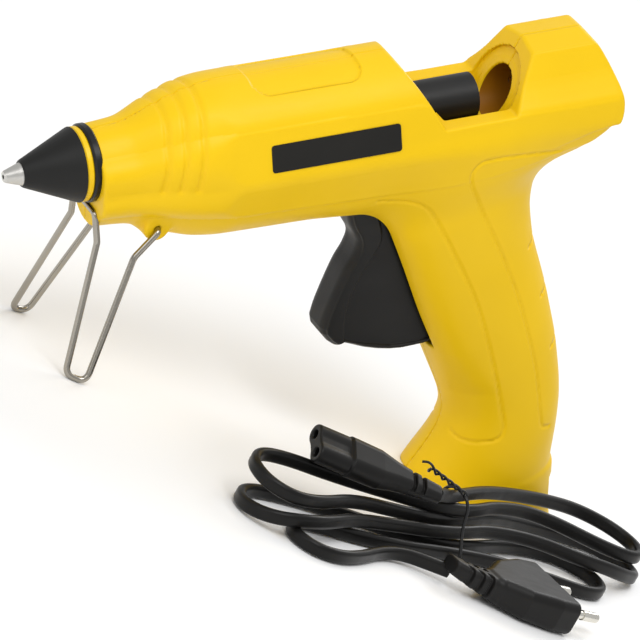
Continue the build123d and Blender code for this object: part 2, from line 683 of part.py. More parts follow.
# ---- stand ---------------------------------------------------------------------------------------
with BuildPart() as stand_wire:
    near = [gun_point(u, w, -y) for u, w, y in STAND_ROUTE] + [gun_point(*STAND_PIVOT, -STAND_END_Y)]
    far = [Vector(point.X, -point.Y, point.Z) for point in near]
    with BuildLine() as stand_line:
        FilletPolyline(*reversed(near), *far, radius=list(reversed(STAND_RADII)) + STAND_RADII)
    with BuildSketch(Plane(origin=stand_line.line @ 0, z_dir=stand_line.line % 0)):
        Circle(WIRE_R)
    sweep()


# ---- mains inlet and internal wiring -------------------------------------------------------------
with BuildPart() as inlet_socket:
    with BuildSketch(Plane.YZ.offset(INLET_X - INLET_SIZE[0])):
        with Locations((0, INLET_Z)):
            RectangleRounded(INLET_SIZE[1], INLET_SIZE[2], 2)
    extrude(amount=INLET_SIZE[0])
    with BuildSketch(Plane.YZ.offset(INLET_X - SOCKET_DEPTH)):
        with Locations((0, INLET_Z)):
            SlotOverall(*SOCKET_SIZE)
    extrude(amount=SOCKET_DEPTH, mode=Mode.SUBTRACT)
    with BuildSketch(Plane.YZ.offset(INLET_X - INLET_SIZE[0])):
        with Locations((-PIN_SPACING / 2, INLET_Z), (PIN_SPACING / 2, INLET_Z)):
            Circle(CONTACT_R)
    extrude(amount=INLET_SIZE[0], mode=Mode.SUBTRACT)

with BuildPart() as inlet_pins:
    with BuildSketch(Plane.YZ.offset(INLET_X - INLET_SIZE[0] - 3)):
        with Locations((-PIN_SPACING / 2, INLET_Z), (PIN_SPACING / 2, INLET_Z)):
            Circle(CONTACT_R)
    extrude(amount=INLET_SIZE[0] + 1)

with BuildPart() as heater_wires:
    for side in (-1, 1):
        pin_end = Vector(INLET_X - INLET_SIZE[0] - 3, side * PIN_SPACING / 2, INLET_Z)
        stops = [pin_end, pin_end - Vector(9, 0, 0)]
        stops += [gun_point(u, w, side * y) for u, w, y in LEAD_WIRE_ROUTE]
        u, w, y = LEAD_WIRE_END
        stops += [gun_point(u, w, side * y)]
        with BuildLine() as wire_line:
            FilletPolyline(*stops, radius=[3.5, 8, 8, 8, 8, 8, 4, 2])
        with BuildSketch(Plane(origin=wire_line.line @ 0, z_dir=wire_line.line % 0)):
            Circle(LEAD_WIRE_R)
        sweep()

with BuildPart() as thermal_fuse:
    fuse_place = gun_point(FUSE_U[0], LEAD_WIRE_ROUTE[4][1], -LEAD_WIRE_ROUTE[4][2])
    with BuildSketch(Plane(fuse_place, x_dir=(0, 1, 0), z_dir=BACK)):
        Circle(2.4)
        Circle(LEAD_WIRE_R + RUNNING, mode=Mode.SUBTRACT)
    extrude(amount=FUSE_U[1] - FUSE_U[0])


# ---- detachable lead -----------------------------------------------------------------------------
HANK_LEFT = Vector(-HANK_AXIS.Y, HANK_AXIS.X, 0)


def hank_plane(along):
    """Across the hank, local x to the left of its axis, local y up."""
    return Plane(HANK_START + HANK_AXIS * along, x_dir=HANK_LEFT, z_dir=HANK_AXIS)


with BuildPart() as twist_tie:
    tie_half, tie_height = HANK[3][1], HANK[3][2]
    with BuildSketch(hank_plane(HANK_TIE - TIE_WIDTH / 2)):
        with Locations((0, tie_height / 2 + 0.7)):
            RectangleRounded(2 * tie_half + 2 * TIE_THICK + 1, tie_height + 1.4, 6)
            RectangleRounded(2 * tie_half + 1, tie_height + 1.4 - 2 * TIE_THICK, 5.1, mode=Mode.SUBTRACT)
    extrude(amount=TIE_WIDTH)
    tail_root = HANK_START + HANK_AXIS * HANK_TIE + Vector(0, 0, tie_height + 0.6)
    with BuildLine() as tail_line:
        FilletPolyline(tail_root, tail_root + Vector(-6, -3, 8), tail_root + Vector(-18, 2, 10), radius=4)
    with BuildSketch(Plane(origin=tail_line.line @ 0, z_dir=tail_line.line % 0)):
        Circle(TIE_THICK)
    sweep()

with BuildPart() as lead_hank:
    for along, half_width, height, shift in HANK:
        with BuildSketch(hank_plane(along)):
            with Locations((shift, height / 2)):
                RectangleRounded(2 * half_width, height, min(half_width, height) * 0.42)
    loft(ruled=True)
    with BuildSketch(hank_plane(HANK_TIE - TIE_WIDTH / 2 - 0.1)):  # room under it for the tie
        Rectangle(60, 2 * TIE_THICK + 0.1)
    extrude(amount=TIE_WIDTH + 0.2, mode=Mode.SUBTRACT)

with BuildPart() as lead_connector:
    for back, width, height in CONNECTOR:
        place = CONNECTOR_FACE + CONNECTOR_AXIS * back
        with BuildSketch(Plane(place, x_dir=CONNECTOR_ROLL, z_dir=CONNECTOR_AXIS)):
            RectangleRounded(width, height, height * 0.46)
    loft(ruled=True)
    with BuildSketch(Plane(CONNECTOR_FACE, x_dir=CONNECTOR_ROLL, z_dir=CONNECTOR_AXIS)):
        with Locations((-PIN_SPACING / 2, 0), (PIN_SPACING / 2, 0)):
            Circle(CONTACT_R + 0.3)
    extrude(amount=12, mode=Mode.SUBTRACT)

PLUG_SIDE = Vector(-PLUG_AXIS.Y, PLUG_AXIS.X, 0)


def plug_plane(back, sideways=0.0, up=0.0, turn=0.0):
    """Across the plug, local x to its side, local y up; it may be turned about the vertical."""
    facing = PLUG_AXIS.rotate(Axis.Z, turn)
    origin = PLUG_FACE - PLUG_AXIS * back + PLUG_SIDE * sideways + Vector(0, 0, up)
    return Plane(origin, x_dir=PLUG_SIDE.rotate(Axis.Z, turn), z_dir=facing)


with BuildPart() as mains_plug:
    for back, width, height in PLUG:
        with BuildSketch(plug_plane(back)):
            RectangleRounded(width, height, height * 0.46)
    loft(ruled=True)
    for index, (back, sideways, up, width) in enumerate(PLUG_NECK):
        with BuildSketch(plug_plane(back, sideways, up, -22 * index)):
            Circle(width / 2)
    loft()
    with BuildSketch(plug_plane(0)):
        with Locations((-PLUG_PIN_SPACING / 2, 0), (PLUG_PIN_SPACING / 2, 0)):
            Circle(PLUG_PIN_R)
    extrude(amount=PLUG_SLEEVE)
    with BuildSketch(plug_plane(8)):
        with Locations((-PLUG_PIN_SPACING / 2, 0), (PLUG_PIN_SPACING / 2, 0)):
            Circle(PLUG_PIN_R - 0.4)
    extrude(amount=40, mode=Mode.SUBTRACT)

with BuildPart() as plug_pins:
    with BuildSketch(plug_plane(8)):
        with Locations((-PLUG_PIN_SPACING / 2, 0), (PLUG_PIN_SPACING / 2, 0)):
            Circle(PLUG_PIN_R - 0.4)
    extrude(amount=8 + PLUG_SLEEVE)
    with BuildSketch(plug_plane(-PLUG_SLEEVE)):
        with Locations((-PLUG_PIN_SPACING / 2, 0), (PLUG_PIN_SPACING / 2, 0)):
            Circle(PLUG_PIN_R)
    extrude(amount=PLUG_PIN_LENGTH - PLUG_SLEEVE)
    fillet(plug_pins.edges().sort_by(Axis(PLUG_FACE, PLUG_AXIS))[-2:], 1.2)


PIECES = {
    "left_shell": left_shell, "right_shell": right_shell, "shell_screws": shell_screws,
    "label_plate_left": label_plate_left, "label_plate_right": label_plate_right,
    "nozzle": nozzle, "nozzle_sleeve": nozzle_sleeve, "nose_ring": nose_ring, "nose_seal": nose_seal,
    "melt_chamber": melt_chamber, "ptc_heater": ptc_heater, "heater_clip": heater_clip,
    "inlet_sleeve": inlet_sleeve, "sleeve_clamp": sleeve_clamp,
    "valve_ball": valve_ball, "valve_spring": valve_spring,
    "trigger": trigger, "trigger_pin": trigger_pin, "feed_tube": feed_tube, "carriage_pin": carriage_pin,
    "grip_jaw": grip_jaw, "jaw_pin": jaw_pin, "return_spring": return_spring,
    "stand_wire": stand_wire, "inlet_socket": inlet_socket, "inlet_pins": inlet_pins,
    "heater_wires": heater_wires, "thermal_fuse": thermal_fuse,
    "lead_hank": lead_hank, "lead_connector": lead_connector, "mains_plug": mains_plug, "plug_pins": plug_pins,
    "twist_tie": twist_tie,
}
for name, piece in PIECES.items():
    piece.part.label = name
    export_step(piece.part, f"parts/{name}.step")
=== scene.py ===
import json
import math

import bpy
import numpy as np
from mathutils import Matrix, Vector


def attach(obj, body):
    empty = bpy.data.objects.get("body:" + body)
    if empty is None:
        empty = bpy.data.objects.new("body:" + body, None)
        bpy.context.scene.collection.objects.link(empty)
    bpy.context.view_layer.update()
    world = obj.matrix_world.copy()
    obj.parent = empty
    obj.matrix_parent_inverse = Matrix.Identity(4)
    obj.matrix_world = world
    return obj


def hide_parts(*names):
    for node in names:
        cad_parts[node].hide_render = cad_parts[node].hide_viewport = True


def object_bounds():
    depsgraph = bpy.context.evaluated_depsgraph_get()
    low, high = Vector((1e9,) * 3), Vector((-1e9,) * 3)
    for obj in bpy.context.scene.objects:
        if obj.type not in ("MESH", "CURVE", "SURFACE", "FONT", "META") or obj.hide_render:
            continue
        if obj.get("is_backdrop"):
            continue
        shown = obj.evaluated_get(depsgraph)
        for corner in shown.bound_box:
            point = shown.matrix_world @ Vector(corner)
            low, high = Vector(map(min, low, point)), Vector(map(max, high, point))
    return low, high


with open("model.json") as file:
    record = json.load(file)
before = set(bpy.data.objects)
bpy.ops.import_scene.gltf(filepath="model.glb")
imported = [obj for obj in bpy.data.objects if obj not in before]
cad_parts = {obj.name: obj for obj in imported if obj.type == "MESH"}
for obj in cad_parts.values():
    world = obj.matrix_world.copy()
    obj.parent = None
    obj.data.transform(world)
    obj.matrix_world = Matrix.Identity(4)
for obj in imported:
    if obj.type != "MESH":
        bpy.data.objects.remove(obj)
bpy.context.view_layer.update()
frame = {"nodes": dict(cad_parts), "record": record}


# ---- gun coordinates ----
# u runs back along the nozzle's axis from its tip, w up and square to it, y across, in millimetres.
PITCH = math.radians(29.0)
CP, SP = math.cos(PITCH), math.sin(PITCH)
TIP_X, TIP_Z = -151.08, 58.0
MM = 0.001


def to_row(points):
    """Gun coordinates (u, w, y) in millimetres to the row frame in metres."""
    p = np.asarray(points, float)
    u, w, y = p[..., 0], p[..., 1], p[..., 2]
    return np.stack([TIP_X + u * CP - w * SP, y, TIP_Z + u * SP + w * CP], axis=-1) * MM


def gun(u, w, y=0.0):
    return Vector(to_row((u, w, y)))


BLOCK_FACE = (201.0, -0.6), (212.5, 20.5)  # two points of the rear block's front face, u and w
BACK = Vector((CP, 0, SP))
UP = Vector((-SP, 0, CP))
scene = bpy.context.scene


def link(obj):
    scene.collection.objects.link(obj)
    return obj


# ---- camera ----
CAM_DISTANCE = 3.0
SENSOR, IMAGE_WIDE, PIXELS_PER_MM = 36.0, 640, 2.59
AIM_AHEAD, AIM_BELOW = 162.87, 11.64  # from the nozzle's tip to the point aimed at
AIM_LEFT, AIM_UP = 2.45, 0.35  # from there to the middle of the picture, all in millimetres
cam_data = bpy.data.cameras.new("camera")
camera = link(bpy.data.objects.new("camera", cam_data))
right = Vector((0.7763, -0.4094, 0.4794)).normalized()
over = Vector((-0.2702, 0.4709, 0.8398)).normalized()
toward = right.cross(over).normalized()
over = toward.cross(right).normalized()
target = Vector(((TIP_X + AIM_AHEAD) * MM, 0, (TIP_Z - AIM_BELOW) * MM))
target += (over * AIM_UP - right * AIM_LEFT) * MM
camera.matrix_world = Matrix((
    (right.x, over.x, toward.x, target.x + toward.x * CAM_DISTANCE),
    (right.y, over.y, toward.y, target.y + toward.y * CAM_DISTANCE),
    (right.z, over.z, toward.z, target.z + toward.z * CAM_DISTANCE),
    (0, 0, 0, 1)))
cam_data.sensor_width = SENSOR
cam_data.lens = PIXELS_PER_MM * CAM_DISTANCE * 1000 * SENSOR / IMAGE_WIDE
cam_data.clip_start, cam_data.clip_end = 0.1, 20.0
scene.camera = camera
scene.view_settings.view_transform = "Standard"  # keeps the yellow as strong as it is


# ---- materials ----
def new_material(name):
    mat = bpy.data.materials.new(name)
    mat.use_nodes = True
    tree = mat.node_tree
    shader = tree.nodes["Principled BSDF"]
    return mat, tree, shader


def ramp(tree, factor, low, high):
    """A colour ramp between two stops, each a position and a colour."""
    made = tree.nodes.new("ShaderNodeValToRGB")
    for element, (position, colour) in zip(made.color_ramp.elements, (low, high)):
        element.position, element.color = position, colour
    tree.links.new(factor, made.inputs["Fac"])
    return made.outputs["Color"]


def grey(value):
    return (value, value, value, 1)


def noise(tree, coords, scale, detail=3.0, roughness=0.5):
    made = tree.nodes.new("ShaderNodeTexNoise")
    made.inputs["Scale"].default_value = scale
    made.inputs["Detail"].default_value = detail
    made.inputs["Roughness"].default_value = roughness
    tree.links.new(coords, made.inputs["Vector"])
    return made.outputs["Fac"]


def bump(tree, shader, height, strength, distance, before=None):
    """A bump on the shader's normal, on top of the bump before it."""
    made = tree.nodes.new("ShaderNodeBump")
    made.inputs["Strength"].default_value = strength
    made.inputs["Distance"].default_value = distance
    tree.links.new(height, made.inputs["Height"])
    if before:
        tree.links.new(before, made.inputs["Normal"])
    tree.links.new(made.outputs["Normal"], shader.inputs["Normal"])
    return made.outputs["Normal"]


def object_coords(tree, turn=None, stretch=None):
    """Object coordinates in metres, or turned and stretched ones."""
    coords = tree.nodes.new("ShaderNodeTexCoord").outputs["Object"]
    if stretch:
        mapping = tree.nodes.new("ShaderNodeMapping")
        mapping.inputs["Rotation"].default_value = turn
        mapping.inputs["Scale"].default_value = stretch
        tree.links.new(coords, mapping.inputs["Vector"])
        coords = mapping.outputs["Vector"]
    return coords


# Noise scales are per metre, bump distances in metres
PATCH_SCALE, WAVE_SCALE, METAL_PATCH_SCALE = 22.0, 30.0, 90.0
SCUFF_TURN, SCUFF_STRETCH, SCUFF_SPREAD = (0.4, 0.2, 0.6), (60.0, 240.0, 90.0), 0.05
GRAIN_STRENGTH, WAVE_STRENGTH, LINE_STRENGTH = 0.35, 0.3, 0.3
LINE_SPREAD, METAL_TINT = 0.08, 0.06


def plastic(name, dark, light, rough, grain=900.0, grain_depth=2e-5, waviness=0.0, specular=0.4):
    """Moulded plastic: slight colour variation, spark-eroded grain, faint scuffs in its gloss."""
    mat, tree, shader = new_material(name)
    coords = object_coords(tree)
    broad = noise(tree, coords, PATCH_SCALE, 3.0)
    colour = ramp(tree, broad, (0.3, (*dark, 1)), (0.7, (*light, 1)))
    tree.links.new(colour, shader.inputs["Base Color"])
    scuff = noise(tree, object_coords(tree, SCUFF_TURN, SCUFF_STRETCH), 1.0, 5.0, 0.62)
    gloss = ramp(tree, scuff, (0.35, grey(rough - SCUFF_SPREAD)), (0.7, grey(rough + SCUFF_SPREAD)))
    tree.links.new(gloss, shader.inputs["Roughness"])
    fine = noise(tree, coords, grain, 2.0, 0.6)
    first = bump(tree, shader, fine, GRAIN_STRENGTH, grain_depth)
    if waviness:
        broad = noise(tree, coords, WAVE_SCALE, 2.0)
        bump(tree, shader, broad, WAVE_STRENGTH, waviness, first)
    shader.inputs["Specular IOR Level"].default_value = specular
    return mat


def metal(name, base, rough, brushed=(60.0, 900.0, 900.0), turn=(0, 0, 0), depth=1e-5):
    """Bare or plated metal with fine drawn or turned marks."""
    mat, tree, shader = new_material(name)
    shader.inputs["Metallic"].default_value = 1.0
    patch = noise(tree, object_coords(tree), METAL_PATCH_SCALE, 4.0)
    low = tuple(c * (1 - METAL_TINT) for c in base)
    high = tuple(min(1, c * (1 + METAL_TINT)) for c in base)
    colour = ramp(tree, patch, (0.3, (*low, 1)), (0.7, (*high, 1)))
    tree.links.new(colour, shader.inputs["Base Color"])
    lines = noise(tree, object_coords(tree, turn, brushed), 1.0, 3.0)
    gloss = ramp(tree, lines, (0.3, grey(rough - LINE_SPREAD)), (0.7, grey(rough + LINE_SPREAD)))
    tree.links.new(gloss, shader.inputs["Roughness"])
    bump(tree, shader, lines, LINE_STRENGTH, depth)
    return mat


# Painted shade: the shell's yellow turns dark brown inside the bore in the rear block that the
# stick slides in, from GUIDE_DEPTH behind the block's face
BORE_SHADE_COLOUR, GUIDE_R, GUIDE_DEPTH = (0.30, 0.115, 0.003, 1), 10.9, 2.1


def paint_bore_shade(mat):
    """Paints shade into the shell's colour inside the stick's bore, by place alone."""
    tree = mat.node_tree
    base = tree.nodes["Principled BSDF"].inputs["Base Color"]
    coords = object_coords(tree)

    def maths(operation, a, b=None):
        made = tree.nodes.new("ShaderNodeMath")
        made.operation = operation
        for socket, value in zip(made.inputs, (a, b)):
            if isinstance(value, (int, float)):
                socket.default_value = value
            elif value:
                tree.links.new(value, socket)
        return made.outputs[0]

    def along(axis, start):
        """Millimetres from a point along an axis."""
        made = tree.nodes.new("ShaderNodeVectorMath")
        made.operation = "DOT_PRODUCT"
        tree.links.new(coords, made.inputs[0])
        made.inputs[1].default_value = axis / MM
        return maths("SUBTRACT", made.outputs["Value"], axis.dot(start) / MM)

    (u0, w0), (u1, w1) = BLOCK_FACE
    inward = (BACK * (w1 - w0) - UP * (u1 - u0)).normalized()
    aside, above = along(Vector((0, 1, 0)), gun(0, 0)), along(UP, gun(0, 0))
    squares = maths("ADD", maths("MULTIPLY", aside, aside), maths("MULTIPLY", above, above))
    radius = maths("SQRT", squares)
    inside = maths("MULTIPLY", maths("LESS_THAN", radius, GUIDE_R),
                   maths("GREATER_THAN", along(inward, gun(u0, w0)), GUIDE_DEPTH))
    # mixes the painted shade's dark brown into the base colour inside the bore
    mix = tree.nodes.new("ShaderNodeMix")
    mix.data_type = "RGBA"
    tree.links.new(inside, mix.inputs["Factor"])
    tree.links.new(base.links[0].from_socket, mix.inputs["A"])
    mix.inputs["B"].default_value = BORE_SHADE_COLOUR
    tree.links.new(mix.outputs["Result"], base)


# Each is named after its slot in the record: dark and light colour, roughness, other settings
PLASTICS = {
    "yellow_shell": ((0.84, 0.53, 0.002), (0.885, 0.565, 0.004), 0.42,
                     {"waviness": 3e-5, "specular": 0.22}),
    "yellow_ring": ((0.85, 0.54, 0.003), (0.89, 0.57, 0.005), 0.3,
                    {"grain_depth": 5e-6, "specular": 0.3}),
    "black_trigger": ((0.0055, 0.005, 0.0045), (0.0095, 0.009, 0.008), 0.46,
                      {"grain": 1400.0, "grain_depth": 3e-5, "specular": 0.3}),
    "black_silicone": ((0.006, 0.006, 0.0055), (0.010, 0.010, 0.009), 0.5,
                       {"grain": 1100.0, "specular": 0.3}),
    "black_seal": ((0.005,) * 3, (0.009,) * 3, 0.3,
                   {"grain_depth": 8e-6, "specular": 0.3}),
    "black_tube": ((0.007,) * 3, (0.012,) * 3, 0.42,
                   {"grain": 1200.0, "specular": 0.3}),
    "black_socket": ((0.01,) * 3, (0.016,) * 3, 0.35, {}),
    "label_dark": ((0.007, 0.0065, 0.005), (0.011, 0.010, 0.008), 0.36,
                   {"grain_depth": 6e-6, "specular": 0.3}),
    "cord_pvc": ((0.005, 0.0048, 0.0044), (0.010, 0.0095, 0.009), 0.36,
                 {"grain": 700.0, "grain_depth": 4e-5, "waviness": 0.0001, "specular": 0.2}),
    "plug_rubber": ((0.0055, 0.0052, 0.0048), (0.010, 0.0095, 0.009), 0.42,
                    {"grain_depth": 3e-5, "specular": 0.22}),
    "tie_black": ((0.008,) * 3, (0.014,) * 3, 0.3, {}),
    "red_silicone": ((0.42, 0.07, 0.03), (0.5, 0.1, 0.04), 0.5, {}),
    "heater_ceramic": ((0.78, 0.75, 0.66), (0.85, 0.82, 0.74), 0.55, {}),
    "wire_sleeve": ((0.7, 0.67, 0.58), (0.82, 0.8, 0.72), 0.7,
                    {"grain": 2500.0, "grain_depth": 0.0001}),
}
# The same, with one base colour
METALS = {
    "nozzle_metal": ((0.62, 0.61, 0.58), 0.34,
                     {"brushed": (2500.0, 60.0, 60.0), "turn": (0, -PITCH, 0)}),
    "stand_chrome": ((0.37, 0.345, 0.30), 0.17, {"depth": 6e-6}),
    "spring_steel": ((0.5, 0.5, 0.49), 0.32, {}),
    "zinc_steel": ((0.62, 0.63, 0.64), 0.34, {}),
    "cast_aluminium": ((0.6, 0.6, 0.61), 0.5, {"brushed": (400, 400, 400), "depth": 4e-5}),
    "contact_brass": ((0.72, 0.6, 0.38), 0.28, {}),
    "pin_nickel": ((0.74, 0.72, 0.66), 0.22, {"depth": 5e-6}),
}
MATERIALS = {}
for slot, (dark, light, rough, settings) in PLASTICS.items():
    MATERIALS[slot] = plastic(slot, dark, light, rough, **settings)
for slot, (base, rough, settings) in METALS.items():
    MATERIALS[slot] = metal(slot, base, rough, **settings)
MATERIALS["fuse_metal"] = MATERIALS["spring_steel"]
# painted shade inside the stick's bore, in the shell's colour
paint_bore_shade(MATERIALS["yellow_shell"])


def finish_piece(obj, body, slot, *replaced):
    """Gives a new piece the material of its record slot and its body, and hides the CAD nodes that
    it stands for.
    """
    obj.data.materials.clear()
    obj.data.materials.append(MATERIALS[slot])
    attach(obj, body)
    if replaced:
        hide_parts(*replaced)


# ---- shaping by implicit functions ----
# Each form is negative inside the material and nearly a distance in millimetres near its surface.
DIAGONAL = 0.7071
FAR = 1e9
TABLE_STEP = 0.5
SLAB_POINTS = 600000  # grid points worked out at one time, which limits the memory
PROBE = 0.04  # half the span over which a form's slope is measured
NEWTON_STEPS, FLATTEST, LONGEST_MOVE = 4, 0.25, 0.35


def smax(a, b, k):
    """Intersection with a fillet of about k."""
    h = np.maximum(k - np.abs(a - b), 0) / k
    return np.maximum(a, b) + h * h * k * 0.25


def smin(a, b, k):
    """Union with a fillet of about k."""
    return -smax(-a, -b, k)


def chamfered(a, b, width, k):
    """Intersection with its edge cut off by a flat band of about this width."""
    return smax(smax(a, b, k), (a + b) * DIAGONAL + width * 0.5, k)


def plane(x, y, p, q):
    """Signed distance from the line p to q; positive on the left of the way from p to q."""
    dx, dy = q[0] - p[0], q[1] - p[1]
    size = math.hypot(dx, dy)
    return ((x - p[0]) * -dy + (y - p[1]) * dx) / size


def segment_distance(x, y, a, b):
    """Distance to the straight line between two points."""
    dx, dy = b[0] - a[0], b[1] - a[1]
    t = np.clip(((x - a[0]) * dx + (y - a[1]) * dy) / (dx * dx + dy * dy), 0, 1)
    return np.hypot(x - a[0] - t * dx, y - a[1] - t * dy)


def polyline_distance(x, y, points):
    """Distance to an open line through the points."""
    best = np.full(x.shape, FAR)
    for a, b in zip(points, points[1:]):
        best = np.minimum(best, segment_distance(x, y, a, b))
    return best


def polygon_distance(x, y, points):
    """Signed distance to a closed polygon, negative inside."""
    closed = points + points[:1]
    inside = np.zeros(x.shape, bool)
    for (ax, ay), (bx, by) in zip(closed, closed[1:]):
        if ay != by:
            inside ^= ((ay > y) != (by > y)) & (x < (bx - ax) * (y - ay) / (by - ay) + ax)
    best = polyline_distance(x, y, closed)
    return np.where(inside, -best, best)


def smooth_curve(points, count):
    """Catmull-Rom samples of an open line, count of them for each run, for rounded outlines."""
    p = [np.array(q, float) for q in points]
    p = [2 * p[0] - p[1]] + p + [2 * p[-1] - p[-2]]
    out = []
    for a, b, c, d in zip(p, p[1:], p[2:], p[3:]):
        for k in range(count):
            t = k / count
            out.append(tuple(0.5 * (2 * b + (c - a) * t + (2 * a - 5 * b + 4 * c - d) * t * t
                                    + (3 * b - a - 3 * c + d) * t ** 3)))
    out.append(tuple(p[-2]))
    return out


def table_of(stations, spread, start, end):
    """A table's columns against its first, smoothed, as a function that interpolates them."""
    xs = np.arange(start, end, TABLE_STEP)
    rows = np.array(stations, float)
    reach = int(round(3 * spread / TABLE_STEP))
    kernel = np.exp(-0.5 * (np.arange(-reach, reach + 1) * TABLE_STEP / spread) ** 2)
    kernel /= kernel.sum()
    columns = []
    for k in range(1, rows.shape[1]):
        line = np.interp(xs, rows[:, 0], rows[:, k])
        padded = np.concatenate([np.full(reach, line[0]), line, np.full(reach, line[-1])])
        columns.append(np.convolve(padded, kernel, "valid"))
    return lambda at: [np.interp(at, xs, c) for c in columns]


CORNERS = [(c & 1, c >> 1 & 1, c >> 2 & 1) for c in range(8)]
EDGES = [(a, b) for a in range(8) for b in range(a + 1, 8) if bin(a ^ b).count("1") == 1]


def sampled(form, axes):
    """A form's values over a grid."""
    values = np.empty([len(a) for a in axes], np.float32)
    slab = max(1, int(SLAB_POINTS / (len(axes[1]) * len(axes[2]))))
    for start in range(0, len(axes[0]), slab):
        grid = np.meshgrid(axes[0][start:start + slab], axes[1], axes[2], indexing="ij")
        values[start:start + slab] = form(*grid)
    return values


def crossed_cells(inside):
    """The grid cells that the surface passes through, and a grid of their numbers."""
    count = np.zeros([k - 1 for k in inside.shape], np.int8)
    side = [slice(None, -1), slice(1, None)]
    for i, j, k in CORNERS:
        count += inside[side[i], side[j], side[k]]
    cells = np.argwhere((count > 0) & (count < 8))
    index = np.full(count.shape, -1, np.int32)
    index[tuple(cells.T)] = np.arange(len(cells))
    return cells, index


def net_points(values, cells):
    """One point for each cell, at the mean of the places where the surface crosses its edges."""
    at = [values[tuple((cells + corner).T)] for corner in CORNERS]
    total, hits = np.zeros((len(cells), 3)), np.zeros(len(cells))
    for a, b in EDGES:
        cross = (at[a] < 0) != (at[b] < 0)
        span = at[a] - at[b]
        t = np.where(cross, at[a] / np.where(cross, span, 1), 0)
        pa, pb = np.array(CORNERS[a], float), np.array(CORNERS[b], float)
        total += cross[:, None] * (pa + t[:, None] * (pb - pa))
        hits += cross
    return cells + total / hits[:, None]


def net_quads(inside, index):
    """One square for each grid edge that the surface crosses, between the cells round the edge."""
    quads = []
    for axis in range(3):
        one, two = [k for k in range(3) if k != axis]
        lower, upper = [slice(None)] * 3, [slice(None)] * 3
        lower[axis], upper[axis] = slice(None, -1), slice(1, None)
        found = np.argwhere(inside[tuple(lower)] != inside[tuple(upper)])
        for across in (one, two):
            found = found[(found[:, across] > 0) & (found[:, across] < inside.shape[across] - 1)]
        four = []
        for da, db in ((0, 0), (1, 0), (1, 1), (0, 1)):
            cell = found.copy()
            cell[:, one] -= da
            cell[:, two] -= db
            four.append(index[tuple(cell.T)])
        quad = np.stack(four, axis=1)
        flip = inside[tuple(found.T)]
        if axis == 1:
            flip = ~flip
        quad[flip] = quad[flip][:, ::-1]
        quads.append(quad)
    return np.concatenate(quads)


def differences(form, points):
    """A form's change over twice PROBE along each axis."""
    return np.stack([form(*(points + side).T) - form(*(points - side).T)
                     for side in PROBE * np.eye(3)], axis=1)


def surface_net(rough, fine, lo, hi, step):
    """The zero surface of a form as a mesh: a net over a grid, then drawn onto the finer form.

    Gives its points, its squares and its outward normals, whose lengths vary."""
    axes = [np.arange(lo[k], hi[k] + step, step) for k in range(3)]
    values = sampled(rough, axes)
    inside = values < 0
    cells, index = crossed_cells(inside)
    points = net_points(values, cells) * step + np.array([a[0] for a in axes])
    quads = net_quads(inside, index)
    for _ in range(NEWTON_STEPS):
        value = fine(*points.T)
        slope = differences(fine, points) / (2 * PROBE)
        size = np.maximum((slope ** 2).sum(1), FLATTEST)
        move = -(value / size)[:, None] * slope
        far = np.linalg.norm(move, axis=1)
        move *= np.minimum(1, LONGEST_MOVE * step / np.maximum(far, 1e-9))[:, None]
        points = points + move
    return points, quads, differences(fine, points)


def turn_from_gun(normals):
    """Directions in gun coordinates to the row frame."""
    u, w, y = normals.T
    return np.stack([u * CP - w * SP, y, u * SP + w * CP], axis=1)


def net_object(name, made, mirror=False, place=to_row, turn=turn_from_gun):
    """A mesh object from surface_net's result, mirrored across y = 0 if asked.

    place and turn bring its points and normals to the row frame. Gun coordinates are left-handed,
    so their squares keep their order unless they are mirrored."""
    points, quads, normals = made
    points, normals = points.copy(), normals.copy()
    normals /= np.maximum(np.linalg.norm(normals, axis=1), 1e-9)[:, None]
    if mirror:
        points[:, 2] *= -1
        normals[:, 2] *= -1
    if mirror or place is not to_row:
        quads = quads[:, ::-1]
    mesh = bpy.data.meshes.new(name)
    mesh.vertices.add(len(points))
    mesh.vertices.foreach_set("co", place(points).astype(np.float32).ravel())
    mesh.loops.add(quads.size)
    mesh.loops.foreach_set("vertex_index", quads.ravel().astype(np.int32))
    mesh.polygons.add(len(quads))
    mesh.polygons.foreach_set("loop_start", np.arange(0, quads.size, 4, dtype=np.int32))
    mesh.polygons.foreach_set("loop_total", np.full(len(quads), 4, np.int32))
    mesh.update(calc_edges=True)
    mesh.validate()
    mesh.shade_smooth()
    mesh.normals_split_custom_set_from_vertices(turn(normals).astype(float))
    return link(bpy.data.objects.new(name, mesh))


# ---- casing ----
WALL = 2.4
NECK_U = 33.8
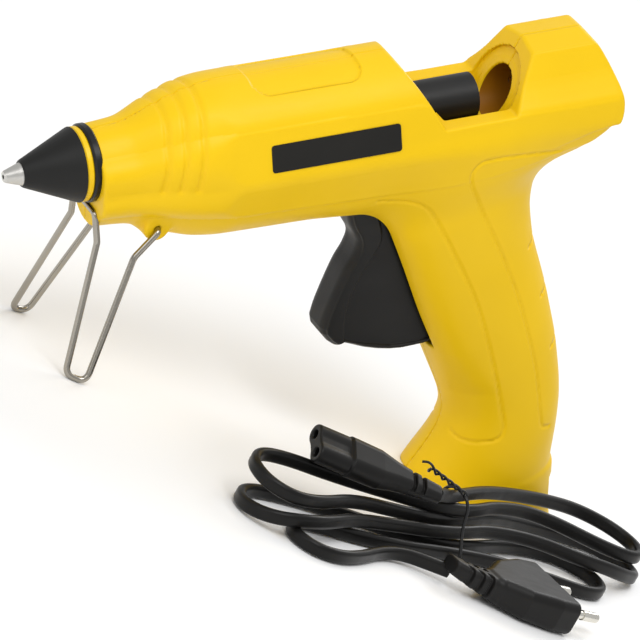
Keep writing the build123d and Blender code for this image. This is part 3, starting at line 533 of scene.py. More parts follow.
# Barrel: u, crown w, shoulder y and w, waist y and w, hip y and w, keel w, bulge of the flanks,
# softness of the creases
BARREL = [
    (20, 14.4, 15.3, 7.3, 19.9, -7.3, 15.3, -18.5, -25.6, 1.6, 9),
    (35, 14.4, 15.3, 7.3, 19.9, -7.3, 15.3, -18.5, -25.6, 1.6, 9),
    (48, 15.4, 15.9, 7.8, 20.6, -7.3, 15.9, -19.0, -26.6, 1.6, 9),
    (60, 20.8, 19.3, 10.6, 24.0, -7.3, 19.4, -20.0, -31.5, 1.4, 8),
    (72, 25.0, 21.6, 13.1, 27.0, -7.4, 22.4, -21.0, -35.5, 1.0, 6),
    (81, 26.4, 22.3, 13.9, 27.7, -7.5, 23.3, -21.8, -36.8, 0.8, 5),
    (85, 26.7, 22.3, 13.9, 27.5, -7.6, 23.4, -21.9, -37.0, 0.0, 1.4),
    (122, 26.6, 22.3, 13.3, 27.3, -8.0, 22.9, -23.5, -38.0, 0.0, 1.4),
    (142, 26.6, 22.3, 13.0, 27.2, -8.2, 22.7, -24.4, -40.0, 0.0, 1.4),
    (156, 26.6, 22.3, 12.8, 27.2, -8.3, 22.5, -24.8, -41.0, 0.0, 1.4),
    (168, 26.6, 22.6, 12.0, 26.8, -8.5, 22.5, -24.8, -40.4, 0.0, 1.4),
    (192, 12.0, 24.2, 1.5, 25.4, -9.2, 22.0, -24.0, -37.0, 0.0, 1.6),
    (210, 12.0, 24.2, 1.5, 25.1, -9.6, 21.5, -22.5, -32.5, 0.1, 2),
    (230, 12.0, 24.2, 1.5, 25.0, -10.0, 21.0, -19.5, -28.0, 0.1, 2.5),
    (260, 12.0, 24.2, 1.5, 24.8, -10.6, 20.5, -15.5, -22.0, 0.1, 3),
]
barrel_at = table_of(BARREL, 2.2, 15, 265)
# Grip, from the top down: w, front u, rear u, half width
GRIP = [
    (0, 128.0, 232.0, 22.0),
    (-20, 140.0, 226.0, 22.0),
    (-34, 149.0, 221.5, 21.5),
    (-47, 154.0, 219.5, 20.8),
    (-64, 160.5, 222.0, 19.6),
    (-86.5, 168.5, 229.0, 19.0),
    (-111, 179.0, 235.0, 18.6),
    (-130, 187.5, 237.8, 18.7),
    (-139, 189.5, 238.2, 19.2),
    (-150, 184.5, 237.5, 20.5),
    (-162, 174.5, 236.0, 22.2),
    (-172, 168.0, 235.0, 23.0),
    (-215, 156.0, 233.6, 23.5),
]
grip_at = table_of(sorted(GRIP), 4.0, -225, 10)
# How square the front of the grip is at each w, and how much fuller that makes it
SQUARE_W, SQUARE = [-126.0, -106.0, -50.0, -30.0], [0.0, 1.0, 1.0, 0.0]
SQUARE_OUT, SQUARE_POWER = 1.4, 1.1
GRIP_TOP_W, GRIP_BLEND = -12.0, 11.0
SHROUD_TOP_W, SHROUD_U, SHROUD_LONG, SHROUD_HALF = -166.0, 203.4, 33.6, 22.4
STAND_PIVOT, BOSS_R, BOSS_HALF = (57.0, -25.0), 5.3, 15.6
BOSS_HOLE_R, HOLE_Y = 1.25, 7.0
PIVOT = (170.0, -46.0)  # the trigger's
SCREWS = [(96.0, 19.0), (146.0, 18.5), (100.0, -29.5), (140.0, -29.0), (228.0, 16.0),
          (212.0, -62.0), (216.0, -128.0), (197.0, -156.0)]
SCREW_POST_R, POST_Y, SCREW_WELL_R, WELL_Y = 4.2, 9.0, 3.05, 9.2  # each starts at its y
SEAM_HALF = 0.05
INLET_X, INLET_Z = TIP_X + 291.0, 12.5  # the middle of the mains inlet's face, in the row frame


def row_xz(u, w):
    """Gun coordinates to the row frame's x and z, all in millimetres."""
    return TIP_X + u * CP - w * SP, TIP_Z + u * SP + w * CP


def ellipse_distance(x, y, a, b, power=2.0):
    """Distance to an ellipse, or to a squarer oval when the power is over 2."""
    x, y = np.abs(x) / a, np.abs(y) / b
    near = (x ** power + y ** power) ** (1 / power) + 1e-9
    steep = np.sqrt((x ** (power - 1) / a) ** 2 + (y ** (power - 1) / b) ** 2) + 1e-9
    return (near - 1) * near ** (power - 1) / steep


def barrel_form(u, w, y):
    """The barrel: an arc over the shoulders, two flanks each side of the waist, an arc below."""
    crown, y1, w1, y2, w2, y3, w3, keel, bulge, soft = barrel_at(u)
    ay = np.abs(y)
    centre = (crown ** 2 - y1 ** 2 - w1 ** 2) / (2 * (crown - w1))
    over_arc = np.hypot(ay, w - centre) - (crown - centre) - np.maximum(w1 - w, 0)
    centre = (keel ** 2 - y3 ** 2 - w3 ** 2) / (2 * (keel - w3))
    under_arc = np.hypot(ay, w - centre) - (centre - keel) - np.maximum(w - w3, 0)
    flanks = []
    for ya, wa, yb, wb in ((y1, w1, y2, w2), (y2, w2, y3, w3)):
        dy, dw = yb - ya, wb - wa
        size = np.hypot(dy, dw)
        t = np.clip(((ay - ya) * dy + (w - wa) * dw) / size ** 2, 0, 1)
        flanks.append(((ay - ya) * -dw + (w - wa) * dy) / size - 4 * bulge * t * (1 - t))
    form = smax(smax(over_arc, flanks[0], soft), smax(flanks[1], under_arc, soft), soft)
    return smax(smax(form, rear_inside(u, w), 3.0), NECK_U - u, 1.6)


BARREL_REAR_U = 246.2
BARREL_REAR = [(206.0, -42.0), (230.0, -26.5), (240.5, -18.0), (245.0, -9.5)]


def rear_inside(u, w):
    """The lower rear end of the barrel in side view, negative ahead of it."""
    a, b, c, d = BARREL_REAR
    low = smax(-plane(u, w, b, c), -plane(u, w, c, d), 5.0)
    low = smax(low, -plane(u, w, a, b), 8.0)
    return smax(low, u - BARREL_REAR_U, 3.0)


# The rear block's section, y and w from the ridge to below the flank, and its rear end, u and w
BLOCK_SECTION = [(0.0, 22.3), (12.5, 20.4), (18.0, 9.8), (24.2, 1.5), (25.1, -9.6), (20.6, -24.0)]
BLOCK_REAR = [
    (238.6, 22.2), (240.4, 20.2), (245.4, 9.8), (247.8, 1.0), (248.0, -5.0), (246.4, -10.6)]
BLOCK_BOTTOM = (196.0, -24.0), (238.0, -10.3)
BLOCK_START_U = 196.0
RIDGE_FOOT_W, SHOULDER_TOP_W = 4.0, 10.8  # the ridge and the shoulders overlap between these
BLOCK_INSET, INSET_END_U, INSET_LONG = 0.6, 212.0, 14.0  # it fades into the barrel at its front


def block_form(u, w, y):
    """The rear block: a ridged roof over wide shoulders, flush with the barrel's flanks below."""
    ay = np.abs(y)
    sides = [plane(ay, w, a, b) for a, b in zip(BLOCK_SECTION, BLOCK_SECTION[1:])]
    ridge = smax(smax(sides[0], sides[1], 0.5), RIDGE_FOOT_W - w, 0.5)
    low = smax(smax(sides[2], sides[3], 1.0), w - SHOULDER_TOP_W, 0.5)
    bottom = smin(-plane(u, w, *BLOCK_BOTTOM), BLOCK_BOTTOM[1][1] - w, 2.0)
    section = smax(smax(smin(ridge, low, 0.5), sides[4], 1.0), bottom, 0.8)
    section = section + BLOCK_INSET * np.clip((INSET_END_U - u) / INSET_LONG, 0, 1)
    rear = plane(u, w, *BLOCK_REAR[:2])
    for a, b in zip(BLOCK_REAR[1:], BLOCK_REAR[2:]):
        rear = smax(rear, plane(u, w, a, b), 1.2)
    return smax(smax(section, rear, 1.4), BLOCK_START_U - u, 0.4)


WINDOW_FACE = [(155.6, 26.8), (161.0, 20.0), (171.6, 0.7)]  # the barrel's sloping end, u and w
RAIL_W, WINDOW_CHAMFER = 0.7, 0.7
CHANNEL_R, CHANNEL_FLOOR, CHANNEL_START_U, RECESS = 16.5, -9.2, 174.5, 1.5


def kept_round_window(u, w):
    """What the stick window leaves, in side view: the barrel, the rails and the rear block."""
    ahead = smax(plane(u, w, *WINDOW_FACE[:2]), plane(u, w, *WINDOW_FACE[1:]), 2.5)
    return smin(smin(ahead, w - RAIL_W, 0.8), plane(u, w, *BLOCK_FACE), 0.8)


def channel_form(u, w, y):
    """The trough the stick slides in, ending in a round recess in the block's face."""
    form = smax(np.hypot(w, y) - CHANNEL_R, CHANNEL_FLOOR - w, 1.0)
    return smax(smax(form, -plane(u, w, *BLOCK_FACE) - RECESS, 0.4), CHANNEL_START_U - u, 1.0)


def grip_form(u, w, y):
    """The grip: an oval at each height, squarer at its front along the trigger's slot."""
    front, rear, half = grip_at(w)
    square = np.interp(w, SQUARE_W, SQUARE)
    front = front + SQUARE_OUT * square
    centre = (front + rear) / 2
    power = np.where(u < centre, 2.0 + SQUARE_POWER * square, 2.0)
    form = ellipse_distance(u - centre, y, (rear - front) / 2, half, power)
    return smax(form, w - GRIP_TOP_W, 6.0)


def outer_form(u, w, y):
    """The outside of the casing, without its moulded detail."""
    shroud = ellipse_distance(u - SHROUD_U, y, SHROUD_LONG, SHROUD_HALF)
    shroud = smax(shroud, w - SHROUD_TOP_W, 3.0)
    grip = smin(grip_form(u, w, y), shroud, 1.0)
    form = smin(barrel_form(u, w, y), grip, GRIP_BLEND)
    boss = np.hypot(u - STAND_PIVOT[0], w - STAND_PIVOT[1]) - BOSS_R
    form = smin(form, smax(boss, np.abs(y) - BOSS_HALF, 1.6), 2.5)
    form = smin(form, block_form(u, w, y), 0.9)
    form = chamfered(form, kept_round_window(u, w), WINDOW_CHAMFER, 0.35)
    form = smax(form, -channel_form(u, w, y), 0.5)
    return smax(form, -row_xz(u, w)[1], 0.8)


# Nose grooves, which lean back above GROOVE_LOW; depths and widths are of a bell-shaped section
GROOVES_U, GROOVE_LEAN, GROOVE_LOW = (56.5, 63.0, 69.5), 0.17, -6.0
GROOVE_DEPTH, GROOVE_WIDE = 0.85, 1.15
PANEL_U, PANEL_LONG, PANEL_HALF, PANEL_CORNER = 119.5, 16.0, 7.0, 6.5  # in the roof
PANEL_LOW, PANEL_DEPTH = 16.0, 0.8
CREASE_DEPTH, CREASE_WIDE, CREASE_FROM_Y, CREASE_FADE = 0.55, 0.7, 6.0, 2.0
NOTCH_LEAN, NOTCH_HALF, NOTCH_LONG, NOTCH_DEPTH = 0.25, 0.9, 7.0, 0.85
FRONT_CREASE = smooth_curve([
    (146.0, -26.9), (157.5, -28.9), (164.5, -32.0), (169.6, -37.4), (177.0, -50.9),
    (186.9, -70.8), (192.9, -85.2), (198.8, -104.2), (203.1, -120.7), (205.7, -132.6),
    (207.0, -140.8), (205.2, -145.2), (200.2, -146.6), (193.0, -146.8), (189.4, -145.0),
    (187.6, -141.0)], 4)
REAR_CREASE = smooth_curve([
    (222.0, -18.6), (207.1, -16.4), (194.6, -15.1), (187.2, -15.4), (183.4, -19.5),
    (183.8, -25.4), (187.5, -33.6), (193.4, -45.6), (201.9, -63.3), (209.5, -81.6),
    (215.6, -100.3), (220.7, -120.3), (223.2, -138.5), (224.4, -144.4), (228.5, -146.5)], 4)
BACK_NOTCHES_W = (-64.0, -87.0, -111.0)


def carve(form, region, depth, k=0.5):
    """Takes a shallow recess out of a form where the region is negative."""
    return smax(form, -smax(region, -(form + depth), 0.25), k)


def reliefs(form, u, w, y):
    """Moulded detail: nose grooves, roof panel, grip creases and the notches down the back."""
    for at in GROOVES_U:
        line = u - at - GROOVE_LEAN * np.maximum(w - GROOVE_LOW, 0)
        away = np.hypot(line, np.minimum(w - GROOVE_LOW, 0))
        form = form + GROOVE_DEPTH * np.exp(-(away / GROOVE_WIDE) ** 2)
    du, dy = np.abs(u - PANEL_U) - PANEL_LONG, np.abs(y) - PANEL_HALF
    panel = np.hypot(np.maximum(du, 0), np.maximum(dy, 0)) + np.minimum(np.maximum(du, dy), 0)
    form = carve(form, smax(panel - PANEL_CORNER, PANEL_LOW - w, 0.5), PANEL_DEPTH)
    side = np.clip((np.abs(y) - CREASE_FROM_Y) / CREASE_FADE, 0, 1)
    for line in (FRONT_CREASE, REAR_CREASE):
        away = polyline_distance(u, w, line)
        form = form + CREASE_DEPTH * np.exp(-(away / CREASE_WIDE) ** 2) * side
    rear = grip_at(w)[1]
    for at in BACK_NOTCHES_W:
        notch = np.abs(w - at - NOTCH_LEAN * (u - rear)) - NOTCH_HALF
        form = carve(form, smax(notch, rear - NOTCH_LONG - u, 1.5), NOTCH_DEPTH, 0.6)
    return form


# The trigger's slot in side view, and how far it reaches each side of the middle
SLOT_SIDE = [
    (143.0, -30.0), (143.0, -41.0), (120.0, -41.0), (120.0, -99.0), (140.0, -97.0),
    (152.0, -102.6), (163.0, -105.0), (175.0, -105.0), (186.0, -103.0), (200.0, -95.0),
    (200.0, -78.0), (187.0, -50.0), (184.0, -30.0)]
SLOT_HALF = 9.4
# Round bores along the stick's axis
REAR_TUBE_R, REAR_TUBE_START = 12.2, 199.0
NECK_R, NECK_END = 12.9, 44.0
TUBE_R, TUBE_U, TUBE_HALF = 9.4, 172.0, 24.0
GUIDE_BORE_R, GUIDE_START = 9.65, 190.0
FLUTE_R, FLUTE_PITCH, FLUTE_HALF, FLUTE_START = 10.4, 4.2, 0.7, 214.0
# The opening that the carriage's arm slides in: its middle and half its size, u and w
ARM_MIDDLE, ARM_HALF = (183.0, -10.0), (14.0, 6.0)
INLET_HALF, INLET_DEPTH = (7.7, 10.7), 18.5


def shell_form(u, w, y, detail, wells):
    """One half of the casing, on the side where y is positive."""
    whole = outer_form(u, w, y)
    skin = reliefs(whole, u, w, y) if detail else whole
    form = smax(skin, -(whole + WALL), 0.3)
    ay, bore = np.abs(y), np.hypot(w, y)
    rear_tube = smax(bore - REAR_TUBE_R, REAR_TUBE_START - u, 0.4)
    form = smin(form, smax(rear_tube, whole, 0.3), 0.6)
    form = smax(form, -smax(bore - NECK_R, u - NECK_END, 0.4), 0.5)
    form = smax(form, -smax(bore - TUBE_R, np.abs(u - TUBE_U) - TUBE_HALF, 0.4), 0.5)
    form = smax(form, -smax(bore - GUIDE_BORE_R, GUIDE_START - u, 0.4), 0.9)
    flutes = np.abs(np.mod(w, FLUTE_PITCH) - FLUTE_PITCH / 2) - FLUTE_HALF
    flutes = smax(bore - FLUTE_R, flutes, 0.3)
    form = smax(form, -smax(flutes, FLUTE_START - u, 0.3), 0.3)
    arm = [np.abs(at - middle) - half for at, middle, half in zip((u, w), ARM_MIDDLE, ARM_HALF)]
    form = smax(form, -smax(smax(arm[0], arm[1], 1.5), ay - SLOT_HALF, 0.5), 0.7)
    side = polygon_distance(u, w, SLOT_SIDE)
    form = smax(form, -smax(side, ay - SLOT_HALF, 0.5), 1.0)
    x, z = row_xz(u, w)
    inlet = smax(np.abs(z - INLET_Z) - INLET_HALF[0], ay - INLET_HALF[1], 2.5)
    form = smax(form, -smax(inlet, INLET_X - INLET_DEPTH - x, 0.4), 0.5)
    hole = np.hypot(u - STAND_PIVOT[0], w - STAND_PIVOT[1]) - BOSS_HOLE_R
    form = smax(form, -smax(hole, HOLE_Y - y, 0.3), 0.5)
    if wells:
        for su, sw in SCREWS:
            reach = np.hypot(u - su, w - sw)
            post = smax(smax(reach - SCREW_POST_R, POST_Y - y, 0.3), whole, 0.3)
            form = smin(form, post, 0.5)
            form = smax(form, -smax(reach - SCREW_WELL_R, WELL_Y - y, 0.3), 0.5)
    return smax(form, SEAM_HALF - y, 0.4)


SOCKET_HALF, SOCKET_REACH, SOCKET_DEPTH, SOCKET_BELOW = (10.5, 7.5), 18.0, 12.0, 1.3
MOUTH_HALF, MOUTH_R = 3.3, 4.4


def socket_form(u, w, y):
    """The mains inlet, a little below the foot's surface, with a figure of eight mouth."""
    x, z = row_xz(u, w)
    x, z, ay = x - INLET_X, z - INLET_Z, np.abs(y)
    body = smax(ay - SOCKET_HALF[0], np.abs(z) - SOCKET_HALF[1], 1.5)
    body = smax(smax(body, -x - SOCKET_REACH, 0.5), x, 0.5)
    body = smax(body, outer_form(u, w, y) + SOCKET_BELOW, 0.4)
    mouth = np.hypot(np.maximum(ay - MOUTH_HALF, 0), z) - MOUTH_R
    return smax(body, -smax(mouth, -x - SOCKET_DEPTH, 0.3), 0.5)


COARSER = 1
SHELL_STEP, SOCKET_STEP, TRIGGER_STEP, LEAD_STEP = (
    COARSER * step for step in (0.8, 0.8 * 0.75, 0.6, 0.4))
made = surface_net(socket_form, socket_form, (206.0, -197.0, -12.0), (244.0, -162.0, 12.0),
                   SOCKET_STEP)
finish_piece(net_object("mains_inlet", made), "casing", "black_socket", "inlet_socket")
# Only the right half has screw wells, and the left one is mirrored
for name, node, wells in (("left_half", "left_shell", False), ("right_half", "right_shell", True)):
    made = surface_net(lambda u, w, y: shell_form(u, w, y, False, wells),
                       lambda u, w, y: shell_form(u, w, y, True, wells),
                       (32.0, -204.0, -1.6), (251.0, 30.0, 31.0), SHELL_STEP)
    finish_piece(net_object(name, made, not wells), "casing", "yellow_shell", node)


# ---- trigger ----
TRIGGER_HALF, TRIGGER_R = 8.5, 61.0
# In side view: the front edge, the edge between the finger pad and the flat sides, the outline of
# the whole trigger, and that of the part of its sides that lies INSET deeper
TRIGGER_FRONT = smooth_curve([
    (139.5, -36.0), (142.0, -45.0), (144.8, -50.5), (145.4, -54.2), (143.8, -59.0),
    (140.4, -64.8), (136.6, -73.5), (133.2, -82.5), (131.7, -88.0)], 5)
TRIGGER_PAD = smooth_curve([
    (151.0, -36.0), (154.0, -46.0), (154.6, -53.0), (150.5, -60.5), (144.0, -72.0),
    (141.0, -82.5), (140.8, -94.0)], 5)
TRIGGER_SIDE = [
    *TRIGGER_FRONT, (132.2, -91.0), (135.0, -94.8), (137.6, -97.0), (139.6, -97.6),
    (141.6, -96.8), (145.0, -98.2), (150.0, -100.4), (155.6, -102.2), (161.0, -103.4),
    (166.1, -104.0), (175.0, -103.7), (182.5, -102.4), (184.0, -90.0), (178.5, -62.0),
    (177.5, -46.0), (174.0, -36.0)]
TRIGGER_INSET = [
    *TRIGGER_PAD, (141.5, -94.2), (150.0, -97.4), (161.0, -100.3), (172.0, -100.8), (190.0, -98.6),
    (200.0, -60.0), (190.0, -36.0), (180.0, -30.0), (151.0, -30.0)]
INSET, INSET_RIM = 1.1, 1.6
FORK_REACH, FORK_HALF, FORK_LEAN = 36.0, 4.7, math.radians(9.25)
FORK_Y, FORK_THICK = 6.9, 1.5
FORK_SLOT_HALF, FORK_SLOT_START, PIN_HOLE_R = 1.65, 30.0, 2.6


def trigger_form(u, w, y):
    """The trigger with its fork, at rest; the fork's slot takes the carriage's cross pin."""
    ay = np.abs(y)
    du, dw = u - PIVOT[0], w - PIVOT[1]
    side = smax(polygon_distance(u, w, TRIGGER_SIDE), np.hypot(du, dw) - TRIGGER_R, 1.0)
    inset = polygon_distance(u, w, TRIGGER_INSET)
    form = smax(side, ay - TRIGGER_HALF, 5.0)
    rim = smax(smax(side + INSET_RIM, -inset, 0.6), ay - TRIGGER_HALF, 0.8)
    form = smin(form, rim, 0.4)
    form = smax(form, -smax(inset, TRIGGER_HALF - INSET - ay, 0.5), 0.6)
    along = du * math.sin(FORK_LEAN) + dw * math.cos(FORK_LEAN)
    aside = np.abs(du * math.cos(FORK_LEAN) - dw * math.sin(FORK_LEAN))
    fork = smax(aside - FORK_HALF, np.abs(along - FORK_REACH / 2) - FORK_REACH / 2, 0.4)
    fork = smax(fork, np.abs(ay - FORK_Y) - FORK_THICK, 0.4)
    fork = smax(fork, -smax(aside - FORK_SLOT_HALF, FORK_SLOT_START - along, 0.3), 0.3)
    return smax(smin(form, fork, 0.6), -(np.hypot(du, dw) - PIN_HOLE_R), 0.3)


made = surface_net(trigger_form, trigger_form, (122.0, -108.0, -10.0), (190.0, -32.0, 10.0),
                   TRIGGER_STEP)
finish_piece(net_object("trigger_shape", made), "trigger", "black_trigger", "trigger")


# ---- wire stand ----
WIRE_R = 1.3


def wire_piece(name, places, radius, kind="NURBS", cyclic=False, sides=5):
    """A round wire, smoothly along the places, or straight between them as a POLY."""
    data = bpy.data.curves.new(name, "CURVE")
    data.dimensions, data.bevel_depth, data.bevel_resolution = "3D", radius * MM, sides
    data.use_fill_caps = True
    spline = data.splines.new(kind)
    spline.points.add(len(places) - 1)
    for point, at in zip(spline.points, places):
        point.co = (*at, 1)
    spline.order_u = 3
    spline.use_endpoint_u = not cyclic
    spline.use_cyclic_u = cyclic
    spline.resolution_u = 8
    return link(bpy.data.objects.new(name, data))


def floor_w(u):
    """The height in gun coordinates at which the wire rests on the floor."""
    return (WIRE_R - TIP_Z - u * SP) / CP


# One side of the stand: its corners, and the radius of the bend at each one but the first
STAND_REAR_U, STAND_FRONT_U = 23.6, 16.2
STAND_HALF = [
    (57.0, -25.0, 9.0), (57.0, -25.0, 17.2), (46.7, -34.4, 17.6),
    (STAND_REAR_U, floor_w(STAND_REAR_U), 29.0), (STAND_FRONT_U, floor_w(STAND_FRONT_U), 26.6),
    (33.6, -27.9, 12.6), (33.5, -16.5, 10.2)]
STAND_BENDS = [2.4, 7.0, 3.9, 3.9, 5.0, 3.0]
BEND_STEPS, BEND_SHARE = 10, 0.49  # a bend takes up less than half of the run on each side


def bent_wire(corners, bends):
    """The stiff stand wire's line through its corners, each one rounded by its bend radius."""
    line = [corners[0]]
    for before, corner, after, radius in zip(corners, corners[1:], corners[2:], bends):
        a, b = (before - corner).normalized(), (after - corner).normalized()
        reach = min(radius / math.tan(a.angle(b) / 2), (before - corner).length * BEND_SHARE,
                    (after - corner).length * BEND_SHARE)
        start, end = corner + a * reach, corner + b * reach
        for k in range(BEND_STEPS + 1):
            f = k / BEND_STEPS
            line.append((start * (1 - f) + corner * f) * (1 - f) + (corner * (1 - f) + end * f) * f)
    return line + [corners[-1]]


half = [gun(u, w, -y) for u, w, y in STAND_HALF]
whole = half + [Vector((p.x, -p.y, p.z)) for p in reversed(half)]
places = bent_wire(whole, [radius * MM for radius in STAND_BENDS + STAND_BENDS[::-1]])
stand = wire_piece("stand", places, WIRE_R, "POLY", sides=6)
finish_piece(stand, "stand", "stand_chrome", "stand_wire")


# ---- detachable lead ----
HANK_ORIGIN = Vector((TIP_X + 110.0, -103.0, 0))
HANK_ALONG = Vector((0.9488, 0.3163, 0))
HANK_ASIDE = Vector((0.3163, -0.9488, 0))  # towards -Y, away from the tool
CORD_WIDE, CORD_THICK = 5.6, 3.7
SECTION_POINTS, CORE_SPREAD, WAIST, WAIST_WIDE = 28, 2.2, 0.10, 0.8


def hank(t, s, z):
    """Along the hank, aside from its axis and up, in millimetres, to the row frame in metres."""
    return (HANK_ORIGIN + HANK_ALONG * t + HANK_ASIDE * s + Vector((0, 0, z))) * MM


# Where the connector and the plug lie: the middle of each face, and the way each points
CONNECTOR_FACE = Vector((TIP_X + 126.0, -83.0, 26.5)) * MM
CONNECTOR_AXIS = Vector((0.985, -0.12, -0.03)).normalized()
CONNECTOR_ROLL = Vector((-0.145, -0.87, -0.47))
PLUG_FACE = Vector((TIP_X + 238.2, -111.7, 7.2)) * MM
PLUG_AXIS = Vector((0.979, 0.204, 0)).normalized()
PLUG_SIDE = Vector((-PLUG_AXIS.y, PLUG_AXIS.x, 0))

ROUTE = [
    # out of the connector, over the bundle and round the big loop on the right
    (73.5, 10.8, 24.6), (80.0, 8.4, 24.0), (92.0, 3.8, 21.2), (108.0, -1.8, 20.6),
    (132.0, -10.0, 18.8), (162.0, -17.5, 15.8), (190.0, -21.0, 13.6), (210.0, -20.0, 12.2),
    (223.5, -10.5, 11.2), (226.0, 3.0, 10.6), (216.0, 12.5, 10.4), (198.0, 9.5, 11.4),
    (165.0, -5.5, 14.8), (134.0, -3.5, 16.4), (110.0, 3.0, 15.8), (90.0, 2.5, 15.4),
    # first fold on the left, high up
    (62.0, -1.5, 16.6), (34.0, -8.0, 17.0), (12.0, -15.5, 17.6), (-4.0, -16.5, 17.6),
    (-15.0, -9.0, 17.0), (-16.5, 3.0, 15.6), (-8.0, 11.5, 14.8), (8.0, 11.5, 14.6),
    (34.0, 5.0, 14.4), (64.0, 4.5, 12.4), (90.0, 4.2, 10.8),
    # second loop on the right, on the floor
    (110.0, 0.5, 9.6), (140.0, -8.0, 9.0), (172.0, -13.5, 5.4), (200.0, -13.0, 3.1),
    (215.0, -8.0, 3.1), (222.5, 4.0, 3.1), (216.0, 16.0, 3.6), (199.0, 20.8, 7.0),
    (186.0, 20.6, 9.0), (172.0, 17.0, 9.4), (150.0, 9.0, 10.6), (122.0, 6.5, 10.6),
    (104.0, 8.6, 9.2), (88.0, 9.2, 8.5),
    # second fold on the left
    (60.0, 9.5, 8.8), (34.0, 10.5, 9.2), (12.0, 16.5, 9.4), (-4.0, 17.5, 8.9), (-15.5, 10.5, 5.4),
    (-17.5, -1.5, 3.1), (-10.0, -12.0, 3.1), (6.0, -14.5, 3.1), (34.0, -9.0, 3.1), (64.0, 1.5, 3.1),
    (90.0, 9.2, 3.1),
    # third loop on the right, the shortest
    (112.0, 8.5, 3.1), (138.0, 3.0, 3.1), (161.0, 2.0, 3.1), (177.0, 7.5, 3.1), (184.0, 19.0, 3.1),
    (178.0, 30.5, 3.1), (164.0, 33.0, 3.1), (147.0, 26.0, 3.1), (125.0, 18.0, 3.1),
    (104.0, 15.6, 3.1), (88.0, 15.4, 3.1),
    # last fold and out to the plug
    (62.0, 15.5, 3.1), (38.0, 12.5, 3.1), (16.0, 7.0, 3.1), (3.0, 7.5, 3.1), (-5.5, 16.0, 3.1),
    (-3.5, 27.0, 3.1), (8.0, 31.2, 3.1), (24.0, 28.5, 3.1), (42.0, 22.5, 3.2), (56.0, 22.5, 3.9),
    (66.5, 30.5, 4.9), (72.0, 33.5, 5.0),
]


def flat_profile():
    """The flat twin cord's section: two rounded cores side by side with a faint waist."""
    data = bpy.data.curves.new("cord_section", "CURVE")
    data.dimensions = "2D"
    spline = data.splines.new("POLY")
    spline.points.add(SECTION_POINTS - 1)
    for k, point in enumerate(spline.points):
        a = 2 * math.pi * k / SECTION_POINTS
        c, s = math.cos(a), math.sin(a)
        core = math.copysign(min(1.0, abs(c) * CORE_SPREAD), c)
        x = (CORD_WIDE - CORD_THICK) / 2 * core + CORD_THICK / 2 * c
        y = CORD_THICK / 2 * s * (1 - WAIST * math.exp(-(x / WAIST_WIDE) ** 2))
        point.co = (y * MM, x * MM, 0, 1)
    spline.use_cyclic_u = True
    made = bpy.data.objects.new("cord_section", data)
    made.hide_render = True
    return made


lead_data = bpy.data.curves.new("lead_cord", "CURVE")
lead_data.dimensions = "3D"
lead_data.twist_mode = "Z_UP"
lead_data.resolution_u = 10
lead_line = lead_data.splines.new("NURBS")
lead_line.points.add(len(ROUTE) - 1)
for point, place in zip(lead_line.points, ROUTE):
    point.co = (*hank(*place), 1)
lead_line.order_u = 3
lead_line.use_endpoint_u = True
lead_data.bevel_mode = "OBJECT"
lead_data.bevel_object = flat_profile()
lead_data.use_fill_caps = True
lead = link(bpy.data.objects.new("lead_cord", lead_data))
finish_piece(lead, "lead", "cord_pvc", "lead_hank")


# ---- what is on the lead ----
def rounded_bar(b, c, half_b, half_c, radius):
    """A rounded rectangle's distance, half_b by half_c."""
    qb, qc = np.abs(b) - half_b + radius, np.abs(c) - half_c + radius
    outside = np.hypot(np.maximum(qb, 0), np.maximum(qc, 0))
    return outside + np.minimum(np.maximum(qb, qc), 0) - radius


def frame_of(face, axis, side):
    """Functions from a piece's own millimetres (behind its face, sideways, up) to the row frame."""
    up = axis.cross(side).normalized()
    side = up.cross(axis).normalized()
    turn = np.array([list(axis), list(side), list(up)])
    return lambda p: p @ turn * MM + np.array(face), lambda n: n @ turn


# Both are shaped in a (behind the face), b (sideways) and c (up), in millimetres
CONNECTOR_AT = [0, 14.2, 15.2, 29.0, 37.0, 42.0, 58.0]
CONNECTOR_B = [7.5, 7.5, 8.5, 8.1, 6.0, 5.2, 3.7]
CONNECTOR_C = [4.1, 4.1, 5.2, 5.0, 4.3, 3.9, 2.8]
CONNECTOR_END, NOSE_END = 58.0, 14.2
LOBE_B, LOBE_R, NOSE_FLAT = 4.3, 4.1, 3.6  # the nose's figure of eight, with its flats
HOLE_R, HOLE_DEPTH, CORE_START = 1.75, 11.0, 12.0
CONNECTOR_RIBS, RIB_HALF = (44.5, 49.0), 1.0


def connector_form(a, b, c):
    """The lead's connector: a two-lobed nose with two pin holes, a body and a ribbed neck."""
    half_b = np.interp(a, CONNECTOR_AT, CONNECTOR_B)
    half_c = np.interp(a, CONNECTOR_AT, CONNECTOR_C)
    form = rounded_bar(b, c, half_b, half_c, half_c * 0.9) * 0.93
    waist = smax(np.hypot(np.abs(b) - LOBE_B, c) - LOBE_R, a - NOSE_END, 0.3)
    nose = smin(waist, smax(form, np.abs(c) - NOSE_FLAT, 0.5), 0.8)
    form = np.where(a < NOSE_END, nose, form)
    for at in CONNECTOR_RIBS:
        form = smax(form, -smax(np.abs(a - at) - RIB_HALF, 0.8 - np.abs(c), 0.3), 0.4)
    for side in (-LOBE_B, LOBE_B):
        form = smax(form, -smax(np.hypot(b - side, c) - HOLE_R, a - HOLE_DEPTH, 0.3), 0.4)
    core = smax(rounded_bar(b, c, half_b - 1.7, half_c - 1.5, 1.2), CORE_START - a, 0.3)
    return smax(smax(smin(form, core, 0.3), -a, 0.9), a - CONNECTOR_END, 0.8)


PLUG_B_AT, PLUG_B = [0, 10.0, 24.0, 33.0, 36.0], [17.5, 17.2, 13.5, 7.0, 6.0]
PLUG_C_AT, PLUG_C = [0, 12.0, 24.0, 36.0], [6.9, 6.9, 6.3, 5.2]
PLUG_CORNER, PLUG_END = 3.6, 36.0
